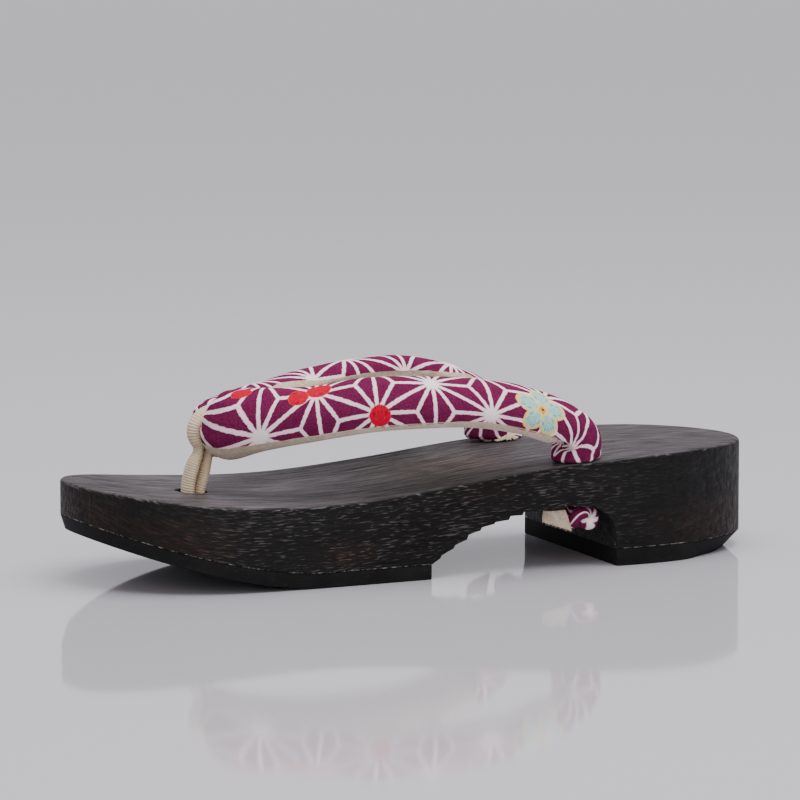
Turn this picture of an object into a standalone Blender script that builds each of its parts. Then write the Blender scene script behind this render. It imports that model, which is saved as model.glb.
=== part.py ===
"""A carved wooden geta sandal with a padded cloth thong, made alike for either foot.

Metres, +Z up. +X runs from heel to toe and +Y to the wearer's left. The origin is on the floor,
halfway along the board and on its centre line.
"""

import math
from collections import namedtuple

import bmesh
import bpy
from mathutils import Vector

# The board from above
LENGTH = 0.240
BALL_WIDTH = 0.080
WAIST_WIDTH = 0.0735
HEEL_WIDTH = 0.0743
TOE_ROUND = 0.050
HEEL_ROUND = 0.054
WAIST_FROM_HEEL = 0.095

# Heights of the foot's face over the floor
HEEL_HEIGHT = 0.0368
BALL_HEIGHT = 0.0270
TOE_HEIGHT = 0.0338
EDGE_ROUND = 0.0012

# The rubber treads glued under the board
FRONT_TREAD = 0.0048
HEEL_TREAD = 0.0056
GLUE_GAP = 0.0003
FLAT_TREAD_LENGTH = 0.040
TOE_SPRING = 0.0175
SPRING_POWER = 1.5
TOE_TUCK = 0.0015
HEEL_TUCK = 0.006
HEEL_TUCK_LENGTH = 0.036

# The hollow carved between the front part and the heel block
HEEL_BLOCK_LENGTH = 0.0602
ARCH_LENGTH = 0.067
ARCH_HEIGHT = 0.0208
ARCH_CORNER = 0.0115
ARCH_CREST = 0.017
ARCH_POWER = 2.4

# Holes for the thong, and the pocket under the front one that keeps its knot off the floor
FRONT_HOLE = 0.0132
FRONT_HOLE_SETBACK = 0.043
REAR_HOLE = 0.012
REAR_HOLE_SETBACK = 0.0715
REAR_HOLE_SPACING = 0.058
POCKET_DIAMETER = 0.024
POCKET_DEPTH = 0.0085

# The padded straps
STRAP_WIDTH = 0.020
STRAP_CROWN = 0.0070
STRAP_BELLY = 0.0056
STRAP_LIFT = 0.0255
STRAP_SPREAD = 0.0052
STRAP_FOOT = 0.0166
SEAM_DROP = 0.0010
LINING_GAP = 0.0003
SEAT_GAP = 0.0003
NOSE_SETBACK = 0.0095
NOSE_DIP = 0.0002
NOSE_LENGTH = 0.0112
NOSE_HEIGHT = 0.0084
NOSE_SEAM_DROP = 0.0022

# The toe loop, one flat cord: how thick and wide it is round the nose, how thick each leg is in the
# front hole, the share of the hole's width that a leg fills, and how far the pair lies behind its middle
CORD_THICKNESS = 0.0042
CORD_WIDTH = 0.0068
CORD_GAP = 0.0004
LEG_THICKNESS = 0.0035
LEG_FILL = 0.66
LEG_SETBACK = 0.0011

# The knots and loose ends
KNOT_LENGTH = 0.0110
KNOT_WIDTH = 0.0136
KNOT_HEIGHT = 0.0078
KNOT_SETBACK = 0.0012
TOE_KNOT_LENGTH = 0.0180
TOE_KNOT_WIDTH = 0.0190
TOE_KNOT_HEIGHT = 0.0072
KNOT_GAP = 0.0003
TAIL_LENGTH = 0.0075
TAIL_DROP = 0.0070
TAIL_THICKNESS = 0.0020
TAIL_SHIFT = 0.0028

# How finely round forms are faceted
END_STEPS = 12
SIDE_STEP = 0.008
HOLE_SIDES = 32
STEPS_PER_ROW = 4
STRAP_SIDES = 24
LINING_SIDES = 14
CORD_SIDES = 12
KNOT_SIDES = 20

# Where the sizes above put things
HEEL_X = -LENGTH / 2
TOE_X = LENGTH / 2
HEEL_FRONT_X = HEEL_X + HEEL_BLOCK_LENGTH
ARCH_FRONT_X = HEEL_FRONT_X + ARCH_LENGTH
FLAT_END_X = ARCH_FRONT_X + FLAT_TREAD_LENGTH
FRONT_HOLE_X = TOE_X - FRONT_HOLE_SETBACK
REAR_HOLE_X = HEEL_X + REAR_HOLE_SETBACK
REAR_HOLE_Y = REAR_HOLE_SPACING / 2
NOSE_X = FRONT_HOLE_X - NOSE_SETBACK

# The foot's face along its middle: where, as a share of LENGTH from the heel, and its height over
# BALL_HEIGHT, as shares of the heel's and the toe's extra height
DeckRow = namedtuple("DeckRow", "along heel_rise toe_rise")
DECK = (
    DeckRow(0.000, 0.95, 0.00),
    DeckRow(0.125, 1.00, 0.00),
    DeckRow(0.250, 0.89, 0.00),
    DeckRow(0.375, 0.68, 0.00),
    DeckRow(0.500, 0.33, 0.00),
    DeckRow(0.625, 0.05, 0.00),
    DeckRow(0.710, 0.00, 0.00),
    DeckRow(0.800, 0.00, 0.14),
    DeckRow(0.875, 0.00, 0.38),
    DeckRow(1.000, 0.00, 1.00),
)

# One strap from its rear hole to the nose. along: share of the way from hole to nose. inward: share of
# the hole's distance from the centre line. outward: shares of STRAP_SPREAD. lift: share of STRAP_LIFT over
# the board. half, crown and belly: shares of the strap's own sizes. seam: share of SEAM_DROP.
# tilt: how far the outer edge hangs, and facing: where it points, in degrees from +X.
# plumb: 0 for a section square to the strap's path, 1 for one that stands upright.
StrapRow = namedtuple("StrapRow", "along inward outward lift half crown belly seam tilt facing plumb")
STRAP = (
    StrapRow(0.000, 0.00, 0.00, 0.070, 0.83, 1.19, 1.46, 9.0, 0, 90, 0.0),
    StrapRow(0.009, 0.00, 0.06, 0.270, 0.89, 1.29, 1.32, 4.8, 6, 91, 0.0),
    StrapRow(0.036, 0.00, 0.20, 0.402, 0.93, 1.20, 1.20, 2.6, 12, 92, 0.0),
    StrapRow(0.095, 0.00, 0.68, 0.580, 0.97, 1.14, 1.25, 2.2, 20, 92, 0.0),
    StrapRow(0.210, 0.00, 1.00, 0.816, 1.00, 1.03, 1.34, 2.0, 28, 90, 0.0),
    StrapRow(0.345, 0.04, 1.00, 0.968, 1.00, 1.00, 1.34, 2.0, 28, 86, 0.0),
    StrapRow(0.485, 0.10, 1.00, 1.000, 1.00, 1.00, 1.12, 1.5, 25, 80, 0.0),
    StrapRow(0.630, 0.22, 1.00, 0.982, 1.00, 1.00, 0.97, 1.0, 21, 73, 0.0),
    StrapRow(0.775, 0.40, 0.80, 0.925, 1.00, 1.03, 1.08, 1.3, 20, 66, 0.0),
    StrapRow(0.900, 0.60, 0.50, 0.860, 1.00, 1.15, 1.32, 2.2, 17, 54, 0.3),
    StrapRow(0.968, 0.66, 0.00, 0.805, 0.98, 1.25, 1.55, 2.6, 12, 34, 0.8),
    StrapRow(0.990, 0.77, 0.00, 0.792, 0.86, 1.14, 1.40, 2.4, 6, 12, 1.0),
    StrapRow(1.000, 0.86, 0.00, 0.780, 0.58, 0.64, 0.79, 2.2, 1, 2, 1.0),
)

# The lining starts this many rows up from the foot
LINING_START = 1.75

# The strap's foot, under its first section. rise: share of the way from the board to that section.
# spread: share of the way from the neck's radius to the foot's.
FootRow = namedtuple("FootRow", "rise spread")
FOOT = (
    FootRow(0.0, 0.00),
    FootRow(0.0, 0.55),
    FootRow(0.2, 0.80),
    FootRow(0.5, 0.95),
)

# The two legs of the toe loop, each from its place in the hole to where it joins the ring round the
# nose. up and toward: shares of the way in height and in x. thick and wide: shares of the leg's
# thickness and width in the hole.
LegRow = namedtuple("LegRow", "up toward thick wide")
FRONT_LEG = (
    LegRow(0.00, 0.00, 1.00, 1.00),
    LegRow(0.29, 0.17, 1.00, 1.00),
    LegRow(0.57, 0.50, 1.00, 0.92),
    LegRow(0.78, 0.90, 0.78, 0.66),
    LegRow(0.90, 0.98, 0.80, 0.66),
)
REAR_LEG = (
    LegRow(0.86, 0.62, 0.80, 0.70),
    LegRow(0.72, 0.52, 0.80, 0.70),
    LegRow(0.55, 0.40, 0.95, 0.85),
    LegRow(0.30, 0.23, 1.00, 1.00),
    LegRow(0.00, 0.00, 1.00, 1.00),
)

# The ring round the nose, from where the front leg joins it to where the rear leg does, in degrees
RING_START = -38
RING_END = 276
RING_STEPS = 24

# The knots are lumpy: how deep the grooves between wraps are, how the wraps run, and the share of its
# height that a rear knot's round top reaches past the lowest part of the roof over it
KNOT_WRAP_DEPTH = 0.09
KNOT_WRAPS = 3
KNOT_TWIST = 1.6
KNOT_TUCK = 0.2

# A loose end: how high on its knot it starts, as a share of the knot's height over its middle, its
# drop at the far end as a share of TAIL_DROP, and how far it waves, as a share of its thickness
TAIL_START = 0.4
TAIL_END_DROP = 0.55
TAIL_WAVE = 0.6


def clear_scene():
    for thing in list(bpy.data.objects):
        bpy.data.objects.remove(thing)


def material(name, colour, roughness):
    made = bpy.data.materials.new(name)
    made.use_nodes = True
    shader = made.node_tree.nodes["Principled BSDF"]
    shader.inputs["Base Color"].default_value = (*colour, 1.0)
    shader.inputs["Roughness"].default_value = roughness
    shader.inputs["Metallic"].default_value = 0.0
    return made


def add_object(name, bm, finish):
    """The bmesh as a closed, smoothly shaded object with its faces pointing out."""
    bmesh.ops.recalc_face_normals(bm, faces=bm.faces)
    mesh = bpy.data.meshes.new(name)
    bm.to_mesh(mesh)
    bm.free()
    mesh.materials.append(finish)
    mesh.shade_smooth()
    mesh.set_sharp_from_angle(angle=math.radians(35))
    made = bpy.data.objects.new(name, mesh)
    bpy.context.scene.collection.objects.link(made)
    return made


def add_cutter(name, bm):
    cutter = add_object(name, bm, material(name, (0.5, 0.5, 0.5), 0.5))
    cutter.hide_render = True
    cutter.display_type = "WIRE"
    return cutter


def cut(target, cutter):
    modifier = target.modifiers.new("cut by " + cutter.name, "BOOLEAN")
    modifier.operation = "DIFFERENCE"
    modifier.object = cutter


def mix(a, b, share):
    return a + (b - a) * share


def ease(share):
    """0 to 1 with level ends."""
    share = min(max(share, 0.0), 1.0)
    return share * share * (3 - 2 * share)


def smooth_through(places, values, at):
    """The value at a place on a smooth curve through the given values."""
    last = len(places) - 1
    if at <= places[0]:
        return values[0]
    if at >= places[last]:
        return values[last]
    i = max(k for k in range(last) if places[k] <= at)

    def slope(k):
        low, high = max(k - 1, 0), min(k + 1, last)
        return (values[high] - values[low]) / (places[high] - places[low])

    span = places[i + 1] - places[i]
    t = (at - places[i]) / span
    start = (2 * t**3 - 3 * t**2 + 1) * values[i] + (t**3 - 2 * t**2 + t) * span * slope(i)
    end = (3 * t**2 - 2 * t**3) * values[i + 1] + (t**3 - t**2) * span * slope(i + 1)
    return start + end


# The board


def half_width(x):
    """Half of the board's width: round ends, and sides that draw in at the waist."""
    heel_end = HEEL_X + HEEL_ROUND
    toe_start = TOE_X - TOE_ROUND
    waist = HEEL_X + WAIST_FROM_HEEL
    if x < heel_end:
        share = min((heel_end - x) / HEEL_ROUND, 1.0)
        return HEEL_WIDTH / 2 * math.sqrt(1 - share**2)
    if x > toe_start:
        share = min((x - toe_start) / TOE_ROUND, 1.0)
        return BALL_WIDTH / 2 * math.sqrt(1 - share**2)
    if x < waist:
        return mix(HEEL_WIDTH, WAIST_WIDTH, ease((x - heel_end) / (waist - heel_end))) / 2
    return mix(WAIST_WIDTH, BALL_WIDTH, ease((x - waist) / (toe_start - waist))) / 2


def deck_height(x):
    along = (x - HEEL_X) / LENGTH
    places = [row.along for row in DECK]
    heel_rise = smooth_through(places, [row.heel_rise for row in DECK], along)
    toe_rise = smooth_through(places, [row.toe_rise for row in DECK], along)
    extra = heel_rise * (HEEL_HEIGHT - BALL_HEIGHT) + toe_rise * (TOE_HEIGHT - BALL_HEIGHT)
    return BALL_HEIGHT + extra


def tread_underside(x):
    """The floor side of the rubber: flat, then springing up towards the toe."""
    share = max((x - FLAT_END_X) / (TOE_X - FLAT_END_X), 0.0)
    return TOE_SPRING * share**SPRING_POWER


def tread_topside(x):
    return tread_underside(x) + (HEEL_TREAD if x < (HEEL_FRONT_X + ARCH_FRONT_X) / 2 else FRONT_TREAD)


def board_underside(x):
    return tread_topside(x) + GLUE_GAP


def arch_ceiling(x):
    """The hollow's roof: a long rise behind the front part, and a round corner at the heel block."""
    crest = HEEL_FRONT_X + ARCH_CREST
    if x > crest:
        share = min((ARCH_FRONT_X - x) / (ARCH_FRONT_X - crest), 1.0)
        return mix(FRONT_TREAD, ARCH_HEIGHT, 1 - (1 - share) ** ARCH_POWER)
    reach = max(HEEL_FRONT_X + ARCH_CORNER - x, 0.0)
    return ARCH_HEIGHT - ARCH_CORNER + math.sqrt(max(ARCH_CORNER**2 - reach**2, 0.0))


def outline_places():
    """Where the outline has its points, from heel tip to toe tip, closer together round the ends."""
    turns = [math.pi / 2 * step / END_STEPS for step in range(END_STEPS + 1)]
    heel = [HEEL_X + HEEL_ROUND * (1 - math.cos(turn)) for turn in turns]
    toe = [TOE_X - TOE_ROUND * (1 - math.cos(turn)) for turn in reversed(turns)]
    steps = round((toe[0] - heel[-1]) / SIDE_STEP)
    sides = [mix(heel[-1], toe[0], step / steps) for step in range(1, steps)]
    return heel + sides + toe


def outline(start, end):
    """The board's outline between two places, anticlockwise from the start's right side."""
    places = [start] + [x for x in outline_places() if start < x < end] + [end]
    right = [(x, -half_width(x)) for x in places]
    left = [(x, half_width(x)) for x in reversed(places)]
    points = []
    for point in right + left:
        if not points or math.dist(point, points[-1]) > GLUE_GAP / 10:
            points.append(point)
    if math.dist(points[0], points[-1]) < GLUE_GAP / 10:
        points.pop()
    return points


def slab(name, start, end, underside, topside, finish, round_top=0.0, tuck=None):
    """A closed solid over the outline, with its lower and upper faces bent to two height functions."""
    bm = bmesh.new()
    floor = bm.faces.new([bm.verts.new((x, y, 0.0)) for x, y in outline(start, end)])
    raised = bmesh.ops.extrude_face_region(bm, geom=[floor])["geom"]
    flat_height = HEEL_HEIGHT
    for vert in (item for item in raised if isinstance(item, bmesh.types.BMVert)):
        vert.co.z = flat_height
    if round_top:
        rim = [e for e in bm.edges if all(v.co.z == flat_height for v in e.verts)]
        bmesh.ops.bevel(bm, geom=rim, offset=round_top, segments=2, profile=0.5, affect="EDGES")
    for x in outline_places()[1:-1] + [HEEL_FRONT_X, ARCH_FRONT_X, FLAT_END_X]:
        if start < x < end:
            everything = bm.verts[:] + bm.edges[:] + bm.faces[:]
            bmesh.ops.bisect_plane(
                bm, geom=everything, dist=GLUE_GAP / 10, plane_co=(x, 0, 0), plane_no=(1, 0, 0)
            )
    for vert in bm.verts:
        x, y, z = vert.co
        if z > flat_height / 2:
            vert.co.z = topside(x) - (flat_height - z)
        else:
            vert.co.z = underside(x)
            vert.co.x = x - tuck(x) if tuck else x
    return add_object(name, bm, finish)


def tread_tuck(x):
    """How far the rubber's lower edge is drawn in at the toe and at the heel."""
    toe = TOE_TUCK * ease((x - FLAT_END_X) / (TOE_X - FLAT_END_X))
    heel = HEEL_TUCK * ease((HEEL_X + HEEL_TUCK_LENGTH - x) / HEEL_TUCK_LENGTH * 2)
    return toe - heel


def prism_across(name, profile):
    """A cutter with the given side profile, wider than the board."""
    bm = bmesh.new()
    face = bm.faces.new([bm.verts.new((x, -BALL_WIDTH, z)) for x, z in profile])
    moved = bmesh.ops.extrude_face_region(bm, geom=[face])["geom"]
    verts = [item for item in moved if isinstance(item, bmesh.types.BMVert)]
    bmesh.ops.translate(bm, verts=verts, vec=(0, 2 * BALL_WIDTH, 0))
    return add_cutter(name, bm)


def drill(name, x, y, diameter, low, high):
    bm = bmesh.new()
    bmesh.ops.create_cone(
        bm,
        cap_ends=True,
        segments=HOLE_SIDES,
        radius1=diameter / 2,
        radius2=diameter / 2,
        depth=high - low,
    )
    bmesh.ops.translate(bm, verts=bm.verts, vec=(x, y, (low + high) / 2))
    return add_cutter(name, bm)


def arch_cutter():
    roof_steps = 20
    corner_steps = 8
    crest = HEEL_FRONT_X + ARCH_CREST
    corner_end = HEEL_FRONT_X + ARCH_CORNER
    roof = [mix(ARCH_FRONT_X, crest, step / roof_steps) for step in range(roof_steps + 1)]
    turns = [math.pi / 2 * step / corner_steps for step in range(corner_steps + 1)]
    corner = [corner_end - ARCH_CORNER * math.sin(turn) for turn in turns]
    below = -HEEL_TREAD
    profile = [(ARCH_FRONT_X, below)] + [(x, arch_ceiling(x)) for x in roof + corner]
    return prism_across("arch_cutter", profile + [(HEEL_FRONT_X, below)])


def pocket_roof():
    return board_underside(FRONT_HOLE_X) + POCKET_DEPTH


def make_board(wood):
    board = slab("board", HEEL_X, TOE_X, board_underside, deck_height, wood, EDGE_ROUND)
    over = 2 * HEEL_HEIGHT
    cut(board, arch_cutter())
    cut(board, drill("front_hole_drill", FRONT_HOLE_X, 0, FRONT_HOLE, 0, over))
    cut(board, drill("pocket_drill", FRONT_HOLE_X, 0, POCKET_DIAMETER, -over, pocket_roof()))
    cut(board, drill("left_hole_drill", REAR_HOLE_X, REAR_HOLE_Y, REAR_HOLE, 0, over))
    cut(board, drill("right_hole_drill", REAR_HOLE_X, -REAR_HOLE_Y, REAR_HOLE, 0, over))


def make_treads(rubber):
    front = slab(
        "front_tread", ARCH_FRONT_X, TOE_X, tread_underside, tread_topside, rubber, tuck=tread_tuck
    )
    opening = drill(
        "tread_drill", FRONT_HOLE_X, 0, POCKET_DIAMETER, -HEEL_HEIGHT, pocket_roof() - POCKET_DEPTH / 2
    )
    cut(front, opening)
    slab(
        "heel_tread", HEEL_X, HEEL_FRONT_X, tread_underside, tread_topside, rubber, tuck=tread_tuck
    )


# The straps

Section = namedtuple("Section", "centre outward upward half crown belly seam")


def bridge_rings(bm, rings, closed_start=True, closed_end=True):
    """Quads between each ring and the next, with the first and last filled if they are closed."""
    loops = [[bm.verts.new(point) for point in ring] for ring in rings]
    for near, far in zip(loops, loops[1:]):
        for i, vert in enumerate(near):
            j = (i + 1) % len(near)
            bm.faces.new((vert, near[j], far[j], far[i]))
    if closed_start:
        bm.faces.new(loops[0][::-1])
    if closed_end:
        bm.faces.new(loops[-1])


def strap_centre(row):
    x = mix(REAR_HOLE_X, NOSE_X, row.along)
    y = REAR_HOLE_Y * (1 - row.inward) + STRAP_SPREAD * row.outward
    under = mix(deck_height(REAR_HOLE_X), deck_height(NOSE_X), row.along)
    return Vector((x, y, under + STRAP_LIFT * row.lift))


def nose_centre():
    """The middle of the strap where the toe loop squeezes it, on the centre line."""
    return Vector((NOSE_X, 0.0, strap_centre(STRAP[-2]).z - NOSE_DIP))


def strap_sections():
    """The left strap's sections from its foot on the board to the nose."""
    count = len(STRAP)
    rows = list(range(count + 1))
    centres = [strap_centre(row) for row in STRAP] + [nose_centre()]
    nose_tilt, nose_facing, nose_plumb = 0.0, 0.0, 1.0
    columns = {
        "half": [STRAP_WIDTH / 2 * row.half for row in STRAP] + [NOSE_LENGTH / 2],
        "crown": [STRAP_CROWN * row.crown for row in STRAP] + [NOSE_HEIGHT / 2],
        "belly": [STRAP_BELLY * row.belly for row in STRAP] + [NOSE_HEIGHT / 2],
        "seam": [SEAM_DROP * row.seam for row in STRAP] + [NOSE_SEAM_DROP],
        "tilt": [row.tilt for row in STRAP] + [nose_tilt],
        "facing": [row.facing for row in STRAP] + [nose_facing],
        "plumb": [row.plumb for row in STRAP] + [nose_plumb],
    }
    places = [row + step / STEPS_PER_ROW for row in rows[:-1] for step in range(STEPS_PER_ROW)]
    places.append(rows[-1])

    def centre_at(place):
        return Vector([smooth_through(rows, [c[axis] for c in centres], place) for axis in range(3)])

    sections = []
    small = 1e-3
    for place in places:
        value = {name: smooth_through(rows, column, place) for name, column in columns.items()}
        along = centre_at(min(place + small, rows[-1])) - centre_at(max(place - small, 0))
        if place == 0:
            along = Vector((0, 0, 1))
        if place == rows[-1]:
            along = Vector((0, -1, 0))
        along.z *= 1 - value["plumb"]
        along.normalize()
        tilt, facing = math.radians(value["tilt"]), math.radians(value["facing"])
        flat = Vector((math.cos(facing), math.sin(facing), 0)) * math.cos(tilt)
        outward = flat - Vector((0, 0, math.sin(tilt)))
        upward = along.cross(outward).normalized()
        size = [value[name] for name in ("half", "crown", "belly", "seam")]
        sections.append(Section(centre_at(place), outward, upward, *size))
    return sections


def placed(section, across, up):
    return section.centre + section.outward * across + section.upward * up


def body_ring(section):
    """The stuffed roll, flat below its seams, where the lining lies."""
    ring = []
    for side in range(STRAP_SIDES):
        turn = 2 * math.pi * (side + 0.5) / STRAP_SIDES
        across = section.half * math.cos(turn)
        rise = math.sin(turn)
        up = section.crown * rise if rise > 0 else max(section.belly * rise, -section.seam)
        ring.append(placed(section, across, up))
    return ring


def lining_ring(section):
    """The cloth that closes the roll underneath, between its two seams."""
    top = section.seam + LINING_GAP
    first = math.asin(top / section.belly)
    ring = []
    for side in range(LINING_SIDES + 1):
        turn = mix(first, math.pi - first, side / LINING_SIDES)
        ring.append(placed(section, section.half * math.cos(turn), -section.belly * math.sin(turn)))
    return ring


def foot_rings():
    """Under the strap's first section: it rounds in to sit on the board, then its neck fills the hole."""
    full = STRAP_FOOT / 2
    neck = REAR_HOLE / 2 - SEAT_GAP
    shoulder = STRAP_LIFT * STRAP[0].lift
    deck = deck_height(REAR_HOLE_X)
    neck_end = rear_knot_centre(1).z + KNOT_HEIGHT / 2 + KNOT_GAP - deck
    steps = [(neck_end, neck), (-EDGE_ROUND, neck)]
    steps += [(mix(SEAT_GAP, shoulder, row.rise), mix(neck, full, row.spread)) for row in FOOT]
    rings = []
    for height, radius in steps:
        ring = []
        for side in range(STRAP_SIDES):
            turn = 2 * math.pi * (side + 0.5) / STRAP_SIDES
            x = REAR_HOLE_X - radius * math.sin(turn)
            y = REAR_HOLE_Y + radius * math.cos(turn)
            under = deck_height(x) if height > 0 else deck
            ring.append(Vector((x, y, under + height)))
        rings.append(ring)
    return rings


def mirror_across(thing):
    """Adds the right half and joins it to the left one on the centre line."""
    modifier = thing.modifiers.new("right side", "MIRROR")
    modifier.use_axis = (False, True, False)
    modifier.use_clip = True
    modifier.merge_threshold = 0.00005


def make_straps(cloth, lining_cloth):
    sections = strap_sections()
    bm = bmesh.new()
    bridge_rings(bm, foot_rings() + [body_ring(s) for s in sections], closed_end=False)
    mirror_across(add_object("straps", bm, cloth))

    lined = sections[round(LINING_START * STEPS_PER_ROW) :]
    bm = bmesh.new()
    bridge_rings(bm, [lining_ring(s) for s in lined], closed_end=False)
    mirror_across(add_object("strap_lining", bm, lining_cloth))


# The toe loop


LoopPoint = namedtuple("LoopPoint", "x z thickness width")


def leg_path(leg, hole_x, ring_point):
    """A strand between the hole and the ring, by its rows of shares."""
    deck = deck_height(FRONT_HOLE_X)
    width = FRONT_HOLE * LEG_FILL
    points = []
    for row in leg:
        x = mix(hole_x, ring_point.x, row.toward)
        z = mix(deck, ring_point.z, row.up)
        points.append(LoopPoint(x, z, LEG_THICKNESS * row.thick, width * row.wide))
    return points


def loop_path():
    """Along the cord: up the front leg, round the nose, and down the rear leg."""
    nose = nose_centre()
    across = NOSE_LENGTH / 2 + CORD_GAP + CORD_THICKNESS / 2
    rise = NOSE_HEIGHT / 2 + CORD_GAP + CORD_THICKNESS / 2
    around = []
    for step in range(RING_STEPS + 1):
        turn = math.radians(mix(RING_START, RING_END, step / RING_STEPS))
        x = nose.x + across * math.cos(turn)
        z = nose.z + rise * math.sin(turn)
        around.append(LoopPoint(x, z, CORD_THICKNESS, CORD_WIDTH))
    low = pocket_roof() - KNOT_GAP
    pair_x = FRONT_HOLE_X - LEG_SETBACK
    apart = LEG_THICKNESS + CORD_GAP
    front = leg_path(FRONT_LEG, pair_x + apart / 2, around[0])
    rear = leg_path(REAR_LEG, pair_x - apart / 2, around[-1])
    return [front[0]._replace(z=low)] + front + around + rear + [rear[-1]._replace(z=low)]


def make_toe_loop(cord_cloth):
    path = loop_path()
    rings = []
    for i, point in enumerate(path):
        before, after = path[max(i - 1, 0)], path[min(i + 1, len(path) - 1)]
        along = Vector((after.x - before.x, 0, after.z - before.z)).normalized()
        inward = Vector((-along.z, 0, along.x))
        ring = []
        for side in range(CORD_SIDES):
            turn = 2 * math.pi * side / CORD_SIDES
            sideways = Vector((0, point.width / 2 * math.cos(turn), 0))
            lift = inward * (point.thickness / 2 * math.sin(turn))
            ring.append(Vector((point.x, 0, point.z)) + sideways + lift)
        rings.append(ring)
    bm = bmesh.new()
    bridge_rings(bm, rings)
    add_object("toe_loop", bm, cord_cloth)


# The knots and loose ends


def knot(name, centre, size, finish):
    """A flat lump with the grooves of a cord wrapped round itself."""
    bm = bmesh.new()
    bmesh.ops.create_uvsphere(bm, u_segments=KNOT_SIDES, v_segments=KNOT_SIDES // 2, radius=1.0)
    for vert in bm.verts:
        around = math.atan2(vert.co.y, vert.co.x)
        belt = 1 - vert.co.z**2
        groove = math.cos(KNOT_WRAPS * around + KNOT_TWIST * vert.co.z) * belt
        scale = 1 - KNOT_WRAP_DEPTH * (1 - groove) / 2 * belt
        vert.co.x *= scale * size.x / 2
        vert.co.y *= scale * size.y / 2
        vert.co.z *= size.z / 2
    bmesh.ops.translate(bm, verts=bm.verts, vec=centre)
    add_object(name, bm, finish)


def rear_knot_centre(side):
    """Just under the hollow's roof, which comes down towards the heel block."""
    x = REAR_HOLE_X - KNOT_SETBACK
    top = arch_ceiling(x - KNOT_LENGTH / 2) + KNOT_HEIGHT * KNOT_TUCK
    return Vector((x, side * REAR_HOLE_Y, top - KNOT_HEIGHT / 2))


def make_tail(name, side, finish):
    """A flap of lining cloth that hangs in front of the knot, its lower edge swept back under it."""
    knot_centre = rear_knot_centre(side)
    top = knot_centre.z + KNOT_HEIGHT * TAIL_START
    start = knot_centre.x + KNOT_LENGTH / 2 + KNOT_GAP + TAIL_THICKNESS / 2
    steps, down_steps = 6, 4
    rings = []
    for step in range(steps + 1):
        share = step / steps
        drop = TAIL_DROP * mix(1.0, TAIL_END_DROP, share)
        ring = []
        for face in (1, -1):
            for row in range(down_steps + 1):
                down = row / down_steps if face > 0 else 1 - row / down_steps
                x = start + TAIL_LENGTH * share - TAIL_THICKNESS * down * (1 - share)
                bend = TAIL_THICKNESS * TAIL_WAVE * math.sin(share * math.pi + down)
                y = REAR_HOLE_Y + TAIL_SHIFT + bend + face * TAIL_THICKNESS / 2
                ring.append(Vector((x, side * y, top - drop * down)))
        rings.append(ring)
    bm = bmesh.new()
    bridge_rings(bm, rings)
    add_object(name, bm, finish)


def make_ends(cloth, lining_cloth, cord_cloth):
    toe_top = pocket_roof() - 2 * KNOT_GAP
    centre = Vector((FRONT_HOLE_X, 0, toe_top - TOE_KNOT_HEIGHT / 2))
    size = Vector((TOE_KNOT_LENGTH, TOE_KNOT_WIDTH, TOE_KNOT_HEIGHT))
    knot("toe_knot", centre, size, cord_cloth)
    for side, hand in ((1, "left"), (-1, "right")):
        size = Vector((KNOT_LENGTH, KNOT_WIDTH, KNOT_HEIGHT))
        knot(hand + "_knot", rear_knot_centre(side), size, cloth)
        make_tail(hand + "_tail", side, lining_cloth)


def main():
    clear_scene()
    wood = material("charred_wood", (0.020, 0.017, 0.017), 0.55)
    rubber = material("black_rubber", (0.015, 0.015, 0.016), 0.75)
    cloth = material("purple_print_cloth", (0.18, 0.012, 0.09), 0.9)
    lining_cloth = material("cream_lining", (0.62, 0.52, 0.38), 0.95)
    cord_cloth = material("cream_cord_cloth", (0.66, 0.56, 0.40), 0.9)
    make_board(wood)
    make_treads(rubber)
    make_straps(cloth, lining_cloth)
    make_toe_loop(cord_cloth)
    make_ends(cloth, lining_cloth, cord_cloth)


main()
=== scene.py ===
"""A geta sandal, dressed: charred and brushed wood, rubber treads, and a stuffed thong of printed cloth.

Metres, +Z up. +X runs from heel to toe and +Y to the wearer's left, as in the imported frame.
"""

import math
from collections import namedtuple
from functools import partial, reduce

import bmesh
import bpy
from mathutils import Matrix, Vector, noise


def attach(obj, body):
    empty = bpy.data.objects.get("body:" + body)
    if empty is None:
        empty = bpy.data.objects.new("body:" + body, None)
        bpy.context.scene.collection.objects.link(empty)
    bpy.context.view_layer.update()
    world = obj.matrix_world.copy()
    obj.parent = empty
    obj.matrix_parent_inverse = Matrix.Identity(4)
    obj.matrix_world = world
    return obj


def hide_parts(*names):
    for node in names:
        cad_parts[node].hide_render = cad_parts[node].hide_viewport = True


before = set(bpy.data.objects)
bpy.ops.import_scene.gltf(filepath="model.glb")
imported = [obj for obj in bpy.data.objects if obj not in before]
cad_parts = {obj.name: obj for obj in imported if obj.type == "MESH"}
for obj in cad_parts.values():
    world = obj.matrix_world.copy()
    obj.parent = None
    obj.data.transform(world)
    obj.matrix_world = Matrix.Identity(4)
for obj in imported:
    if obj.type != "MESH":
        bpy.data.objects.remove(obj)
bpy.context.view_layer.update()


def table(columns, *rows):
    """Rows of values, each with its columns' names."""
    kind = namedtuple("Row", columns)
    return [kind(*row) for row in rows]



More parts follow.
